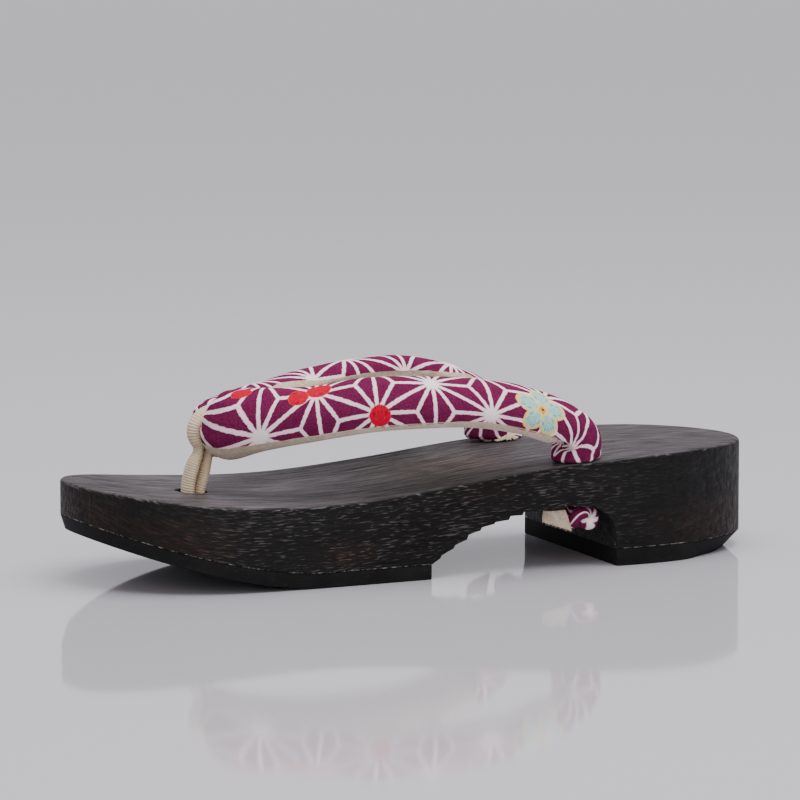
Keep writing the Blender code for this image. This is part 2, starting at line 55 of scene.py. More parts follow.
# The board
LENGTH = 0.240
BALL_WIDTH = 0.080
WAIST_WIDTH = 0.0735
HEEL_WIDTH = 0.0743
TOE_ROUND = 0.050
HEEL_ROUND = 0.054
WAIST_FROM_HEEL = 0.095
HEEL_HEIGHT = 0.0368
BALL_HEIGHT = 0.0270
TOE_HEIGHT = 0.0338
EDGE_ROUND = 0.0012
FRONT_TREAD = 0.0048
HEEL_TREAD = 0.0056
GLUE_GAP = 0.0001
FLAT_TREAD_LENGTH = 0.040
TOE_SPRING = 0.0175
SPRING_POWER = 1.5
TOE_TUCK = 0.0015
HEEL_TUCK = 0.006
HEEL_TUCK_LENGTH = 0.036
HEEL_BLOCK_LENGTH = 0.0602
ARCH_LENGTH = 0.067
ARCH_HEIGHT = 0.0208
ARCH_CORNER = 0.0115
ARCH_CREST = 0.017
ARCH_POWER = 2.4
FRONT_HOLE = 0.0132
FRONT_HOLE_SETBACK = 0.043
REAR_HOLE = 0.012
REAR_HOLE_SETBACK = 0.0715
REAR_HOLE_SPACING = 0.058
POCKET_DIAMETER = 0.024
POCKET_DEPTH = 0.0085
SOLE_ROUND = 0.0004
TREAD_ROUND = 0.0003
RIM_ROUND = 0.0005
CLEARANCE = 0.0003

# The straps
STRAP_WIDTH = 0.020
STRAP_CROWN = 0.0070
STRAP_BELLY = 0.0056
STRAP_LIFT = 0.0255
STRAP_SPREAD = 0.0052
STRAP_FOOT = 0.0166
SEAM_DROP = 0.0010
NOSE_SETBACK = 0.0095
NOSE_DIP = 0.0002
NOSE_LENGTH = 0.0112
NOSE_HEIGHT = 0.0084
NOSE_SEAM_DROP = 0.0022

# The toe loop, the knots and the loose ends
CORD_THICKNESS = 0.0042
CORD_WIDTH = 0.0068
CORD_GAP = 0.0004
LEG_THICKNESS = 0.0035
LEG_FILL = 0.66
LEG_SETBACK = 0.0011
KNOT_LENGTH = 0.0110
KNOT_WIDTH = 0.0136
KNOT_HEIGHT = 0.0078
KNOT_SETBACK = 0.0012
KNOT_TUCK = 0.2
TOE_KNOT_LENGTH = 0.0180
TOE_KNOT_WIDTH = 0.0190
TOE_KNOT_HEIGHT = 0.0072
TOE_KNOT_THICK = 0.0046
KNOT_THICK = 0.0044
TAIL_LENGTH = 0.0075
TAIL_DROP = 0.0070
TAIL_THICKNESS = 0.0020
TAIL_SHIFT = 0.0028
TAIL_START = 0.4
TAIL_END_DROP = 0.55
TAIL_WAVE = 0.6

HEEL_X = -LENGTH / 2
TOE_X = LENGTH / 2
HEEL_FRONT_X = HEEL_X + HEEL_BLOCK_LENGTH
ARCH_FRONT_X = HEEL_FRONT_X + ARCH_LENGTH
FLAT_END_X = ARCH_FRONT_X + FLAT_TREAD_LENGTH
FRONT_HOLE_X = TOE_X - FRONT_HOLE_SETBACK
REAR_HOLE_X = HEEL_X + REAR_HOLE_SETBACK
REAR_HOLE_Y = REAR_HOLE_SPACING / 2
NOSE_X = FRONT_HOLE_X - NOSE_SETBACK

# The deck's height, by the place along it from the heel: shares of the heel's and the toe's rise over the ball
DECK = table(
    "along heel_rise toe_rise",
    (0.000, 0.95, 0.00),
    (0.125, 1.00, 0.00),
    (0.250, 0.89, 0.00),
    (0.375, 0.68, 0.00),
    (0.500, 0.33, 0.00),
    (0.625, 0.05, 0.00),
    (0.710, 0.00, 0.00),
    (0.800, 0.00, 0.14),
    (0.875, 0.00, 0.38),
    (1.000, 0.00, 1.00),
)

# How an arm of the strap lies, by the place along it from its hole to the nose: how far it is drawn in to the middle
# and bows out, and how high it is; its half width, crown, belly and seam, as shares of the sizes above; how far it
# tilts and turns, in degrees; and how upright it is held. Towards the nose it stands as the loop's pinch holds it.
STRAP = table(
    "along inward outward lift half crown belly seam tilt facing plumb",
    (0.000, 0.00, 0.00, 0.070, 0.83, 1.19, 1.46, 9.0, 0, 90, 0.0),
    (0.009, 0.00, 0.06, 0.270, 0.89, 1.29, 1.32, 4.8, 6, 91, 0.0),
    (0.036, 0.00, 0.20, 0.402, 0.93, 1.20, 1.20, 2.6, 12, 92, 0.0),
    (0.095, 0.00, 0.68, 0.580, 0.97, 1.14, 1.25, 2.2, 20, 92, 0.0),
    (0.210, 0.00, 1.00, 0.816, 1.00, 1.03, 1.34, 2.0, 28, 90, 0.0),
    (0.345, 0.04, 1.00, 0.968, 1.00, 1.00, 1.34, 2.0, 28, 86, 0.0),
    (0.485, 0.10, 1.00, 1.000, 1.00, 1.00, 1.12, 1.5, 25, 80, 0.0),
    (0.630, 0.22, 1.00, 0.982, 1.00, 1.00, 0.97, 1.0, 21, 73, 0.0),
    (0.775, 0.40, 0.80, 0.925, 1.00, 1.03, 1.08, 1.3, 20, 66, 0.0),
    (0.900, 0.60, 0.50, 0.860, 1.00, 1.15, 1.32, 2.2, 17, 54, 0.3),
    (0.968, 0.66, 0.00, 0.805, 0.98, 1.25, 1.55, 2.6, 12, 34, 0.8),
    (0.990, 0.77, 0.00, 0.792, 0.86, 1.14, 1.40, 2.4, 6, 12, 1.0),
    (1.000, 0.86, 0.00, 0.780, 0.58, 0.64, 0.79, 2.2, 1, 2, 1.0),
)

# How much fuller and wider the left arm lies than the right one, in metres, at the strap's rows and the nose
Fullness = namedtuple("Fullness", "crown belly wider")
EVEN = Fullness(0.0, 0.0, 0.0)
LEFT_FULLNESS = (
    *[EVEN] * 5,
    Fullness(-0.0004, 0.0003, 0.0000),
    Fullness(0.0018, 0.0007, 0.0000),
    Fullness(0.0040, 0.0007, 0.0000),
    Fullness(0.0037, 0.0006, 0.0000),
    Fullness(0.0047, 0.0003, 0.0002),
    Fullness(0.0056, 0.0004, 0.0008),
    Fullness(0.0054, 0.0004, 0.0014),
    Fullness(0.0046, 0.0002, 0.0018),
    EVEN,
)

# At the same places, how far the right arm lies towards the toe of the left one's mirror image, and how much narrower
# it is
RIGHT_FORWARD = (0.0062, 0.0058, 0.0044, 0.0018, *[0.0] * 10)
RIGHT_NARROWER = (*[0.0] * 9, 0.0004, 0.0012, 0.0017, 0.0006, 0.0)

# The toe loop's legs, by how far they are up from the deck and along towards the ring round the nose
FRONT_LEG = table(
    "up toward thick wide",
    (0.00, 0.00, 1.00, 1.00),
    (0.29, 0.17, 1.00, 1.00),
    (0.57, 0.50, 1.06, 0.92),
    (0.78, 0.90, 0.88, 0.70),
    (0.90, 0.98, 0.88, 0.70),
)
REAR_LEG = table(
    "up toward thick wide",
    (0.88, 0.78, 0.92, 0.72),
    (0.74, 0.66, 0.95, 0.74),
    (0.55, 0.46, 1.06, 0.88),
    (0.30, 0.23, 1.06, 1.00),
    (0.00, -0.06, 1.00, 1.00),
)

# The turns round the nose, in degrees from its front, where the cord's ring begins and ends
RING_START = -38
RING_END = 288
RING_STEPS = 24


def mix(a, b, share):
    return a + (b - a) * share


def ease(share):
    """0 to 1 with level ends."""
    share = min(max(share, 0.0), 1.0)
    return share * share * (3 - 2 * share)


def smooth_through(places, values, at):
    """The value at a place on a smooth curve through the given values."""
    last = len(places) - 1
    if at <= places[0]:
        return values[0]
    if at >= places[last]:
        return values[last]
    i = max(k for k in range(last) if places[k] <= at)

    def slope(k):
        low, high = max(k - 1, 0), min(k + 1, last)
        return (values[high] - values[low]) / (places[high] - places[low])

    span = places[i + 1] - places[i]
    t = (at - places[i]) / span
    start = (2 * t**3 - 3 * t**2 + 1) * values[i] + (t**3 - 2 * t**2 + t) * span * slope(i)
    end = (3 * t**2 - 2 * t**3) * values[i + 1] + (t**3 - t**2) * span * slope(i + 1)
    return start + end


def row_value(rows, column, at):
    """The value of a table's column at this place along its rows."""
    return smooth_through([row.along for row in rows], [getattr(row, column) for row in rows], at)


def turns_round(sides):
    return [2 * math.pi * side / sides for side in range(sides)]


def waver_at(*place):
    """Smooth noise at a place."""
    return noise.noise(Vector(place))


# Blender's tools, as used by hand. From these angles on, in degrees, an edge is shaded as sharp.
SHARP_BOARD = 40
SHARP_CLOTH = 60
SHARP_CORD = 80


def select_only(piece):
    bpy.ops.object.select_all(action="DESELECT")
    piece.select_set(True)
    bpy.context.view_layer.objects.active = piece


def edit(piece, mode="VERT"):
    """Opens the piece in edit mode with nothing selected."""
    select_only(piece)
    bpy.ops.object.mode_set(mode="EDIT")
    bpy.ops.mesh.select_mode(type=mode)
    bpy.ops.mesh.select_all(action="DESELECT")


def done():
    bpy.ops.object.mode_set(mode="OBJECT")


def pick_edges(piece, wanted):
    """Selects the edges whose two ends both fit, in edit mode."""
    bm = bmesh.from_edit_mesh(piece.data)
    for edge in bm.edges:
        if wanted(edge.verts[0].co) and wanted(edge.verts[1].co):
            edge.select_set(True)
    bm.select_flush_mode()
    bmesh.update_edit_mesh(piece.data)


def apply_modifier(piece, kind, **settings):
    select_only(piece)
    modifier = piece.modifiers.new(kind.lower(), kind)
    for name, value in settings.items():
        setattr(modifier, name, value)
    bpy.ops.object.modifier_apply(modifier=modifier.name)


def cut_away(piece, cutter):
    apply_modifier(piece, "BOOLEAN", operation="DIFFERENCE", solver="EXACT", object=cutter)
    bpy.data.objects.remove(cutter)


def settle(piece, degrees):
    """Leaves the piece at the origin with its place in its mesh, shaded smooth but for sharp edges."""
    select_only(piece)
    bpy.ops.object.transform_apply(location=True, rotation=True, scale=True)
    bpy.ops.object.shade_smooth_by_angle(angle=math.radians(degrees))
    bpy.ops.object.select_all(action="DESELECT")
    return piece


def skin(bm, rings, round_again=False):
    """A skin over rings of points: its ends are filled, or its last ring meets its first."""
    loops = [[bm.verts.new(point) for point in ring] for ring in rings]
    after = loops[1:] + loops[:1] if round_again else loops[1:]
    for near, far in zip(loops, after):
        for i, vert in enumerate(near):
            j = (i + 1) % len(near)
            bm.faces.new((vert, near[j], far[j], far[i]))
    if not round_again:
        bm.faces.new(loops[0][::-1])
        bm.faces.new(loops[-1])


def loft(name, rings, round_again=False, strands=()):
    """A piece skinned over rings of points, with loose strands beside it."""
    bm = bmesh.new()
    skin(bm, rings, round_again)
    for thread in strands:
        skin(bm, thread)
    bmesh.ops.recalc_face_normals(bm, faces=bm.faces)
    mesh = bpy.data.meshes.new(name)
    bm.to_mesh(mesh)
    bm.free()
    made = bpy.data.objects.new(name, mesh)
    bpy.context.scene.collection.objects.link(made)
    return made


# The board and its treads


def half_width(x):
    """Half of the board's width: round ends, and sides that draw in at the waist."""
    heel_end = HEEL_X + HEEL_ROUND
    toe_start = TOE_X - TOE_ROUND
    waist = HEEL_X + WAIST_FROM_HEEL
    if x < heel_end:
        share = min((heel_end - x) / HEEL_ROUND, 1.0)
        return HEEL_WIDTH / 2 * math.sqrt(1 - share**2)
    if x > toe_start:
        share = min((x - toe_start) / TOE_ROUND, 1.0)
        return BALL_WIDTH / 2 * math.sqrt(1 - share**2)
    if x < waist:
        return mix(HEEL_WIDTH, WAIST_WIDTH, ease((x - heel_end) / (waist - heel_end))) / 2
    return mix(WAIST_WIDTH, BALL_WIDTH, ease((x - waist) / (toe_start - waist))) / 2


def deck_height(x):
    along = (x - HEEL_X) / LENGTH
    heel_rise = row_value(DECK, "heel_rise", along) * (HEEL_HEIGHT - BALL_HEIGHT)
    toe_rise = row_value(DECK, "toe_rise", along) * (TOE_HEIGHT - BALL_HEIGHT)
    return BALL_HEIGHT + (heel_rise + toe_rise)


def tread_underside(x):
    """The floor side of the rubber: flat, then springing up towards the toe."""
    share = max((x - FLAT_END_X) / (TOE_X - FLAT_END_X), 0.0)
    return TOE_SPRING * share**SPRING_POWER


def tread_topside(x):
    return tread_underside(x) + (HEEL_TREAD if x < (HEEL_FRONT_X + ARCH_FRONT_X) / 2 else FRONT_TREAD)


def board_underside(x):
    return tread_topside(x) + GLUE_GAP


def tread_tuck(x):
    """How far the rubber's lower edge is drawn in at the toe and at the heel."""
    toe = TOE_TUCK * ease((x - FLAT_END_X) / (TOE_X - FLAT_END_X))
    heel = HEEL_TUCK * ease((HEEL_X + HEEL_TUCK_LENGTH - x) / HEEL_TUCK_LENGTH * 2)
    return toe - heel


def arch_ceiling(x):
    """The hollow's roof: a long rise behind the front part, and a round corner at the heel block."""
    crest = HEEL_FRONT_X + ARCH_CREST
    if x > crest:
        share = min((ARCH_FRONT_X - x) / (ARCH_FRONT_X - crest), 1.0)
        return mix(FRONT_TREAD, ARCH_HEIGHT, 1 - (1 - share) ** ARCH_POWER)
    reach = max(HEEL_FRONT_X + ARCH_CORNER - x, 0.0)
    return ARCH_HEIGHT - ARCH_CORNER + math.sqrt(max(ARCH_CORNER**2 - reach**2, 0.0))


def outline_places(start, end):
    """Where the outline has its points: closer together round the ends."""
    end_steps, side_step = 36, 0.004
    turns = [math.pi / 2 * step / end_steps for step in range(end_steps + 1)]
    heel = [HEEL_X + HEEL_ROUND * (1 - math.cos(turn)) for turn in turns]
    toe = [TOE_X - TOE_ROUND * (1 - math.cos(turn)) for turn in reversed(turns)]
    steps = round((toe[0] - heel[-1]) / side_step)
    sides = [mix(heel[-1], toe[0], step / steps) for step in range(1, steps)]
    return [start] + [x for x in heel + sides + toe if start < x < end] + [end]


def outline(start, end):
    places = outline_places(start, end)
    right = [(x, -half_width(x)) for x in places]
    left = [(x, half_width(x)) for x in reversed(places)]
    points = []
    for point in right + left:
        if not points or math.dist(point, points[-1]) > 1e-5:
            points.append(point)
    if math.dist(points[0], points[-1]) < 1e-5:
        points.pop()
    return points


def slab(name, start, end, underside, topside, round_top=0.0, round_bottom=0.0, tuck=None):
    """A solid over the outline: a filled ring is drawn up, its edges rounded, cut across and bent."""
    points = outline(start, end)
    bpy.ops.mesh.primitive_circle_add(vertices=len(points), radius=LENGTH / 2, fill_type="NGON")
    piece = bpy.context.object
    piece.name = name
    for vert, (x, y) in zip(piece.data.vertices, points):
        vert.co = (x, y, 0.0)
    flat_height = HEEL_HEIGHT
    edit(piece)
    bpy.ops.mesh.select_all(action="SELECT")
    bpy.ops.mesh.extrude_region_move(TRANSFORM_OT_translate={"value": (0, 0, flat_height)})
    for size, height in ((round_top, flat_height), (round_bottom, 0.0)):
        if size:
            bpy.ops.mesh.select_mode(type="EDGE")
            bpy.ops.mesh.select_all(action="DESELECT")
            pick_edges(piece, lambda co: abs(co.z - height) < 1e-6)
            bpy.ops.mesh.bevel(offset=size, segments=4, profile=0.5)
    for x in outline_places(start, end)[1:-1]:
        bpy.ops.mesh.select_all(action="SELECT")
        bpy.ops.mesh.bisect(plane_co=(x, 0, 0), plane_no=(1, 0, 0), threshold=1e-5)
    bpy.ops.mesh.select_all(action="SELECT")
    bpy.ops.mesh.normals_make_consistent(inside=False)
    done()
    for vert in piece.data.vertices:
        x, y, z = vert.co
        if z > flat_height / 2:
            vert.co.z = topside(x) - (flat_height - z)
        else:
            vert.co.z = underside(x) + z
            vert.co.x = x - tuck(x) if tuck else x
    return piece


DRILL_SIDES = 64


def drill(x, y, diameter, low, high):
    bpy.ops.mesh.primitive_cylinder_add(
        vertices=DRILL_SIDES, radius=diameter / 2, depth=high - low, location=(x, y, (low + high) / 2)
    )
    return bpy.context.object


# The front hole is tight on the cord at the deck: its mouth shows smaller than it was drilled
TOE_HOLE = FRONT_HOLE - 0.0024
TOE_HOLE_SHIFT = -0.0003

# The gouge leaves small steps in the hollow's roof: how long and how wide each cut is, how far it bows, and how deep
# its step is
GOUGE_LENGTH = 0.0050
GOUGE_ACROSS = 0.011
GOUGE_BOW = 0.0009
GOUGE_STEP = 0.0017


def gouged(x, y):
    """How much a cut of the gouge leaves or takes at this place on the roof."""
    if not HEEL_FRONT_X + 0.002 <= x <= ARCH_FRONT_X - 0.001:
        return 0.0
    row = (x + GOUGE_BOW * math.sin(y * 210)) / GOUGE_LENGTH
    cell = math.floor(row)
    slant = row - cell
    depth = waver_at(cell * 3.7, math.floor(y / GOUGE_ACROSS) * 1.9, 2.0)
    return GOUGE_STEP * (0.75 * depth + 0.55 * (slant - 0.5))


def arch_cutter():
    """A block as wide as the board and more, its top face carved like the hollow's roof."""
    steps_along, steps_across = 110, 26
    wide = BALL_WIDTH * 1.1
    rings = []
    for row in range(steps_across + 1):
        y = mix(-wide / 2, wide / 2, row / steps_across)
        ring = [Vector((ARCH_FRONT_X, y, -HEEL_TREAD))]
        for step in range(steps_along + 1):
            share = step / steps_along
            x = mix(ARCH_FRONT_X, HEEL_FRONT_X, share)
            ring.append(Vector((x, y, arch_ceiling(x) + gouged(x, y))))
        ring.append(Vector((HEEL_FRONT_X, y, -HEEL_TREAD)))
        rings.append(ring)
    return loft("arch_cutter", rings)


def pocket_roof():
    return board_underside(FRONT_HOLE_X) + POCKET_DEPTH


def soften_rim(piece, x, y, diameter, above, size):
    """Rounds the rim of a hole where it meets the foot's face."""
    edit(piece, "EDGE")

    def on_rim(co):
        off = math.dist((co.x, co.y), (x, y))
        return abs(off - diameter / 2) < 1e-4 and co.z > above

    pick_edges(piece, on_rim)
    bpy.ops.mesh.bevel(offset=size, segments=3, profile=0.5)
    done()


def make_board():
    board = slab("board_wood", HEEL_X, TOE_X, board_underside, deck_height, EDGE_ROUND, SOLE_ROUND)
    over = 2 * HEEL_HEIGHT
    cut_away(board, arch_cutter())
    cut_away(board, drill(FRONT_HOLE_X + TOE_HOLE_SHIFT, 0, TOE_HOLE, 0, over))
    cut_away(board, drill(FRONT_HOLE_X, 0, POCKET_DIAMETER, -over, pocket_roof()))
    for side in (1, -1):
        cut_away(board, drill(REAR_HOLE_X, side * REAR_HOLE_Y, REAR_HOLE, 0, over))
    soften_rim(board, FRONT_HOLE_X + TOE_HOLE_SHIFT, 0, TOE_HOLE, BALL_HEIGHT * 0.9, RIM_ROUND)
    return settle(board, SHARP_BOARD)


def make_tread(name, start, end):
    return slab(name, start, end, tread_underside, tread_topside, 0.0, TREAD_ROUND, tread_tuck)


def make_treads():
    front = make_tread("front_tread_rubber", ARCH_FRONT_X, TOE_X)
    top = pocket_roof() - POCKET_DEPTH / 2
    cut_away(front, drill(FRONT_HOLE_X, 0, POCKET_DIAMETER, -HEEL_HEIGHT, top))
    heel = make_tread("heel_tread_rubber", HEEL_X, HEEL_FRONT_X)
    return settle(front, SHARP_BOARD), settle(heel, SHARP_BOARD)


# The strap

Section = namedtuple("Section", "centre outward upward half crown belly seam")
STEPS_PER_ROW = 12
CLOTH_SIDES = 64
LINING_SIDES = 28
CLOTH_GIRTH = 0.050


def strap_centre(row):
    x = mix(REAR_HOLE_X, NOSE_X, row.along)
    y = REAR_HOLE_Y * (1 - row.inward) + STRAP_SPREAD * row.outward
    under = mix(deck_height(REAR_HOLE_X), deck_height(NOSE_X), row.along)
    return Vector((x, y, under + STRAP_LIFT * row.lift))


def nose_centre():
    """The middle of the strap where the toe loop squeezes it, on the centre line."""
    return Vector((NOSE_X, 0.0, strap_centre(STRAP[-2]).z - NOSE_DIP))


def strap_sections(left):
    """One arm's sections from its foot on the board to the nose, drawn as the left arm. The left one is fuller,
    and the right one leans forward at its foot."""
    fullness = LEFT_FULLNESS if left else [EVEN] * len(LEFT_FULLNESS)
    forward = [0.0] * len(RIGHT_FORWARD) if left else RIGHT_FORWARD
    narrower = [0.0] * len(RIGHT_NARROWER) if left else RIGHT_NARROWER
    rows = list(range(len(STRAP) + 1))
    centres = [strap_centre(row) for row in STRAP] + [nose_centre()]
    centres = [centre + Vector((ahead, 0, 0)) for centre, ahead in zip(centres, forward)]
    half = [STRAP_WIDTH / 2 * row.half for row in STRAP] + [NOSE_LENGTH / 2]
    crown = [STRAP_CROWN * row.crown for row in STRAP] + [NOSE_HEIGHT / 2]
    belly = [STRAP_BELLY * row.belly for row in STRAP] + [NOSE_HEIGHT / 2]
    columns = {
        "half": [h + more.wider - less for h, more, less in zip(half, fullness, narrower)],
        "crown": [c + more.crown for c, more in zip(crown, fullness)],
        "belly": [b + more.belly for b, more in zip(belly, fullness)],
        "seam": [SEAM_DROP * row.seam for row in STRAP] + [NOSE_SEAM_DROP],
        "tilt": [row.tilt for row in STRAP] + [0.0],
        "facing": [row.facing for row in STRAP] + [0.0],
        "plumb": [row.plumb for row in STRAP] + [1.0],
    }
    places = [row + step / STEPS_PER_ROW for row in rows[:-1] for step in range(STEPS_PER_ROW)]
    places.append(rows[-1])

    def centre_at(place):
        return Vector([smooth_through(rows, [c[axis] for c in centres], place) for axis in range(3)])

    sections = []
    small = 1e-3
    for place in places:
        value = {name: smooth_through(rows, column, place) for name, column in columns.items()}
        along = centre_at(min(place + small, rows[-1])) - centre_at(max(place - small, 0))
        if place == 0:
            along = Vector((0, 0, 1))
        if place == rows[-1]:
            along = Vector((0, -1, 0))
        along.z *= 1 - value["plumb"]
        along.normalize()
        tilt, facing = math.radians(value["tilt"]), math.radians(value["facing"])
        flat = Vector((math.cos(facing), math.sin(facing), 0)) * math.cos(tilt)
        outward = flat - Vector((0, 0, math.sin(tilt)))
        upward = along.cross(outward).normalized()
        sizes = [value[name] for name in ("half", "crown", "belly", "seam")]
        sections.append(Section(centre_at(place), outward, upward, *sizes))
    return sections


def placed(section, across, up):
    return section.centre + section.outward * across + section.upward * up


def mirrored(points):
    return [Vector((p.x, -p.y, p.z)) for p in points]


def lengths_from_nose(sections):
    """How far each section lies from the nose along the strap."""
    far = [0.0]
    for near, after in zip(sections[::-1], sections[-2::-1]):
        far.append(far[-1] + (near.centre - after.centre).length)
    return far[::-1]


def both_arms(left, right):
    """The left arm's rings from foot to nose, then the right arm's from nose to foot."""
    return left + [mirrored(ring) for ring in right[-2::-1]]


# Where the strap's foot rounds in to the board: how far up its shoulder and how far out each ring is
FOOT_CURVE = ((0.0, 0.0), (0.0, 0.3), (0.0, 0.55), (0.08, 0.7), (0.2, 0.8), (0.35, 0.89), (0.5, 0.95), (0.75, 0.99))
FOOT_LEAN = 0.45
NECK_MIDDLE = 0.006
CLOTH_LIFT = 0.0002


def foot_rings(sides, forward):
    """Under the strap's first section: it rounds in to sit on the board, then its neck fills the hole."""
    full = STRAP_FOOT / 2
    neck = REAR_HOLE / 2 - CLEARANCE
    shoulder = STRAP_LIFT * STRAP[0].lift
    deck = deck_height(REAR_HOLE_X)
    neck_end = rear_knot_centre(1).z + KNOT_HEIGHT / 2 + CLEARANCE - deck
    steps = [(height, neck, 0.0) for height in (neck_end, -NECK_MIDDLE, -EDGE_ROUND)]
    for rise, spread in FOOT_CURVE:
        shift = forward * mix(ease(rise), spread, FOOT_LEAN * (1 - rise))
        steps.append((mix(CLOTH_LIFT, shoulder, rise), mix(neck, full, spread), shift))
    rings = []
    for height, radius, shift in steps:
        ring = []
        for turn in turns_round(sides):
            x = REAR_HOLE_X - radius * math.sin(turn) + shift
            y = REAR_HOLE_Y + radius * math.cos(turn)
            under = deck_height(x) if height > 0 else deck
            ring.append(Vector((x, y, under + height)))
        rings.append(ring)
    return rings


def rear_knot_centre(side):
    """Just under the hollow's roof, which comes down towards the heel block."""
    x = REAR_HOLE_X - KNOT_SETBACK
    top = arch_ceiling(x - KNOT_LENGTH / 2) + KNOT_HEIGHT * KNOT_TUCK
    return Vector((x, side * REAR_HOLE_Y, top - KNOT_HEIGHT / 2))


def body_ring(section):
    """The stuffed roll, flat below its seams, where the lining lies."""
    ring = []
    for turn in turns_round(CLOTH_SIDES):
        across = section.half * math.cos(turn)
        rise = math.sin(turn)
        up = section.crown * rise if rise > 0 else max(section.belly * rise, -section.seam)
        ring.append(placed(section, across, up))
    return ring


# The lining lies within the roll between the seams, and stands out past it where it climbs. It changes over this
# turn round the roll, in radians.
LINING_TUCK = 0.985
LINING_PROUD = 1.027
LINING_BLEND = 0.05
LINING_RAGGED = 0.00028
LINING_RAGGED_STEP = 0.42
LINING_TAPER = 8


def lining_ring(section, climb, lift, ragged, taper):
    """The cloth that closes the roll underneath, between its two seams. Its inner edge climbs the roll's side, its
    edges aren't quite even, and it tapers off at the foot."""
    seam_turn = math.asin((section.seam + 0.0001) / section.belly)
    first = seam_turn * (1 - lift)
    last = math.pi - seam_turn
    ring = []
    for side in range(LINING_SIDES + 1):
        turn = mix(first, last + climb, side / LINING_SIDES)
        proud = mix(LINING_TUCK, LINING_PROUD, ease(max(turn - last, seam_turn - turn) / LINING_BLEND))
        across = section.half * math.cos(turn) * proud
        up = -math.sin(turn) * (section.belly if turn < math.pi else section.crown)
        if side in (0, LINING_SIDES):
            up += ragged
        ring.append(placed(section, mix(0, across, taper), mix(-section.seam, up, taper)))
    return ring


# The lining starts this many of the strap's rows from the foot. At each row its outer edge is lifted by a share of
# its turn under the seam, and its inner edge climbs so many degrees.
LINING_START = 2.5
LEFT_LIFT = (0, 0, 0, 0.2, 0.4, 0.5, 0.5, 0.4, 0.3, 0.2, 0.1, 0, 0, 0)
RIGHT_LIFT = (0,) * len(LEFT_LIFT)
LEFT_CLIMB = (0, 0, 10, 22, 20, 16, 15, 15, 17, 14, 6, 0, 0, 0)
RIGHT_CLIMB = (0, 0, 10, 58, 17, 5, 8, 16, 50, 30, 6, 0, 0, 0)

# Where the print lies on the roll, in metres: how far the cloth is drawn along it and has slipped round it, by its
# place along the strap from the nose
SLIPS = table(
    "along drawn around",
    (-0.160, -0.0060, -0.0090),
    (-0.089, -0.0029, -0.0058),
    (-0.050, -0.0004, -0.0018),
    (-0.020, 0.0000, 0.0020),
    (0.003, 0.0000, 0.0085),
    (0.021, 0.0000, 0.0043),
    (0.057, 0.0000, 0.0012),
    (0.092, 0.0000, 0.0011),
    (0.114, 0.0000, 0.0030),
    (0.134, 0.0005, 0.0098),
    (0.160, 0.0010, 0.0110),
)

# Creases pressed into the cloth, in millimetres on the cloth: where the middle lies along the strap from the nose and
# round it from the crest, which way the crease runs, and its half length, half width and depth
CREASES = table(
    "along around turn length width depth",
    (7.5, 12.0, 14, 4.6, 0.9, 0.45),
    (8.0, 8.0, 6, 5.2, 0.9, 0.50),
    (7.5, 3.5, -4, 5.0, 0.9, 0.50),
    (7.5, -1.5, -12, 5.0, 1.0, 0.45),
    (7.0, -7.0, -18, 4.6, 1.0, 0.40),
    (7.0, 16.5, 20, 4.0, 0.9, 0.40),
    (-7.5, 9.0, 8, 4.8, 0.9, 0.45),
    (-7.5, 3.0, 0, 5.0, 0.9, 0.50),
    (-7.5, -3.0, 8, 5.0, 0.9, 0.50),
    (-7.5, -9.0, 14, 4.8, 0.9, 0.45),
    (-7.0, 15.0, -10, 4.2, 0.9, 0.40),
    (128.5, 14.5, 8, 5.2, 0.9, 0.55),
    (129.5, 9.5, 36, 5.0, 0.9, 0.50),
    (132.5, 6.0, 68, 4.6, 0.9, 0.50),
    (129.0, 19.0, -28, 4.2, 0.9, 0.45),
    (138.0, 7.5, -60, 4.6, 0.9, 0.45),
    (139.5, 14.0, -12, 5.0, 1.0, 0.45),
    (125.0, -12.0, 20, 6.0, 1.1, 0.40),
    (-128.0, -13.0, 10, 6.0, 1.0, 0.55),
    (-131.0, -7.0, -30, 5.5, 1.0, 0.50),
    (-132.0, 4.0, -60, 5.0, 1.0, 0.45),
    (-138.0, -12.0, 8, 5.0, 1.0, 0.45),
    (-127.0, 12.0, -14, 6.0, 1.1, 0.45),
    (44.0, -9.0, 30, 6.0, 1.6, 0.30),
    (83.0, 7.0, -64, 5.0, 1.8, 0.25),
    (-64.0, 8.0, 50, 6.0, 1.7, 0.30),
    (-98.0, 2.0, -40, 6.0, 1.7, 0.25),
)
CREASE_REACH = 12

# The stuffing is a little uneven all over. The pinch at the nose and the cloth in the holes are left smooth.
UNEVEN_DEPTH = 0.00022
UNEVEN_SIZE = 0.011
SMOOTH_NOSE = 0.004
SMOOTH_FOOT = 0.145


def pressed_in(along, around):
    """How far the cloth lies under its even roll at this place on the cloth."""
    depth = UNEVEN_DEPTH * waver_at(along / UNEVEN_SIZE, around / UNEVEN_SIZE, 0)
    for crease in CREASES:
        off_along, off_around = along * 1000 - crease.along, around * 1000 - crease.around
        if max(abs(off_along), abs(off_around)) < CREASE_REACH:
            turn = math.radians(crease.turn)
            down = (off_along * math.cos(turn) + off_around * math.sin(turn)) / crease.length
            across = (off_around * math.cos(turn) - off_along * math.sin(turn)) / crease.width
            depth += crease.depth / 1000 * math.exp(-(down**2) - across**2)
    return depth


def around_each(rings):
    """How far round from the crest each point of each ring lies. The cloth is as wide everywhere, so where the
    roll is thin it is gathered."""
    sides = len(rings[0])
    crest, under = sides // 4, 3 * sides // 4
    around_of = []
    for ring in rings:
        steps = [(ring[side] - ring[(side + 1) % sides]).length for side in range(sides)]
        scale = CLOTH_GIRTH / sum(steps)
        around = {crest: 0.0}
        for side in range(crest, under):
            around[side + 1] = around[side] - steps[side] * scale
        for side in range(crest, crest - sides // 2, -1):
            around[side - 1] = around[side] + steps[(side - 1) % sides] * scale
        around_of.append(around)
    return around_of


